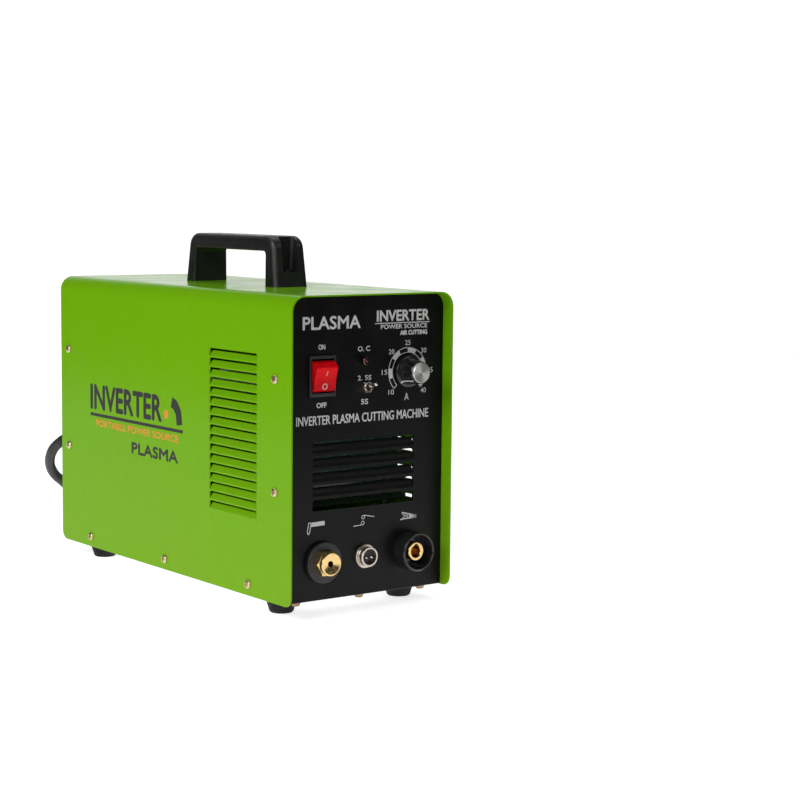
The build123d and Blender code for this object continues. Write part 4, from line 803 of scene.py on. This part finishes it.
# ---------------------------------------------------------------- switch marks
# The rocker's pivot, its tilt at rest, and its face: how far out the middle is, and how much further each end.
ROCKER_PIVOT_DEPTH, ROCKER_PIVOT_Z = 3, 187.4
ROCKER_TILT = 13.0
ROCKER_OUT, ROCKER_END_OUT, ROCKER_HALF = 8.4, 0.8, 9.1


def rocker_marks():
    """The I and O on the rocker's face, at rest."""
    turn = Matrix.Rotation(math.radians(ROCKER_TILT), 4, "X")
    pivot = Vector((centre_of("rocker_paddle").x, FRONT_Y + ROCKER_PIVOT_DEPTH * MM, ROCKER_PIVOT_Z * MM))

    def place(u, v, lift):
        out = ROCKER_OUT + ROCKER_END_OUT * abs(v) / ROCKER_HALF
        local = Vector((u * MM, -out * MM - lift, v * MM))
        return pivot + turn @ local

    bm = bmesh.new()
    ribbon(bm, place, [(0.9, 6.4), (0.3, 2.4)], 0.45)
    ribbon(bm, place, arc(0.0, -6.0, 2.1, 0, 345, 23), 0.5, True)
    add_object("print_rocker_marks", mesh_from("print_rocker_marks", bm), "rocker", WHITE)


rocker_marks()


# ---------------------------------------------------------------- floor, backdrop and light
FLOOR = [(-0.8, -0.8, 0), (2.0, -0.8, 0), (2.0, 2.6, 0), (-0.8, 2.6, 0)]
WALL = [(-0.2, 3.0, 0), (2.8, 1.2, 0), (2.8, 1.2, 1.6), (-0.2, 3.0, 1.6)]
LIGHT_AIM = (0, 0, 0.14)
# Each light's name, place, size in metres and power in watts.
LIGHTS = [
    ("key", (-2.2, -0.5, 1.5), (1.4, 1.4), 38),
    ("overhead", (0.3, 0.6, 2.2), (2.2, 1.6), 18),
    ("front_fill", (1.2, -2.1, 1.7), (1.2, 0.6), 4),
    ("front_soft", (-1.8, -2.3, 1.1), (1.8, 1.5), 14),
]
ROOM_GLOW = 0.05


def stage_plane(name, corners, colour, glow):
    bm = bmesh.new()
    bm.faces.new([bm.verts.new(c) for c in corners])
    data = bpy.data.meshes.new(name)
    bm.to_mesh(data)
    bm.free()
    material = bpy.data.materials.new(name)
    material.use_nodes = True
    shader = material.node_tree.nodes["Principled BSDF"]
    shader.inputs["Base Color"].default_value = (*colour, 1)
    shader.inputs["Roughness"].default_value = 0.8
    shader.inputs["Specular IOR Level"].default_value = 0.1
    shader.inputs["Emission Color"].default_value = (1, 1, 1, 1)
    shader.inputs["Emission Strength"].default_value = glow
    data.materials.append(material)
    plane = bpy.data.objects.new(name, data)
    bpy.context.scene.collection.objects.link(plane)


def area_light(name, place, size, power):
    data = bpy.data.lights.new(name, "AREA")
    data.shape = "RECTANGLE"
    data.size, data.size_y = size
    data.energy = power
    light = bpy.data.objects.new(name, data)
    bpy.context.scene.collection.objects.link(light)
    light.location = place
    light.rotation_mode = "QUATERNION"
    light.rotation_quaternion = (Vector(place) - Vector(LIGHT_AIM)).to_track_quat("Z", "Y")


def studio_world():
    """White where the camera looks past the floor, and dim where the room lights the object."""
    world = bpy.data.worlds.new("studio")
    world.use_nodes = True
    tree = world.node_tree
    seen, room = tree.nodes["Background"], tree.nodes.new("ShaderNodeBackground")
    seen.inputs["Color"].default_value = (1, 1, 1, 1)
    seen.inputs["Strength"].default_value = 1.0
    room.inputs["Color"].default_value = (0.9, 0.95, 1, 1)
    room.inputs["Strength"].default_value = ROOM_GLOW
    path, mix = tree.nodes.new("ShaderNodeLightPath"), tree.nodes.new("ShaderNodeMixShader")
    tree.links.new(path.outputs["Is Camera Ray"], mix.inputs["Fac"])
    tree.links.new(room.outputs[0], mix.inputs[1])
    tree.links.new(seen.outputs[0], mix.inputs[2])
    tree.links.new(mix.outputs[0], tree.nodes["World Output"].inputs["Surface"])
    bpy.context.scene.world = world


def make_stage():
    stage_plane("floor", FLOOR, (0.85, 0.85, 0.85), 0.72)
    stage_plane("backdrop", WALL, (0.1, 0.1, 0.1), 1.0)
    for light in LIGHTS:
        area_light(*light)
    studio_world()
    bpy.context.scene.view_settings.view_transform = "Standard"


make_stage()
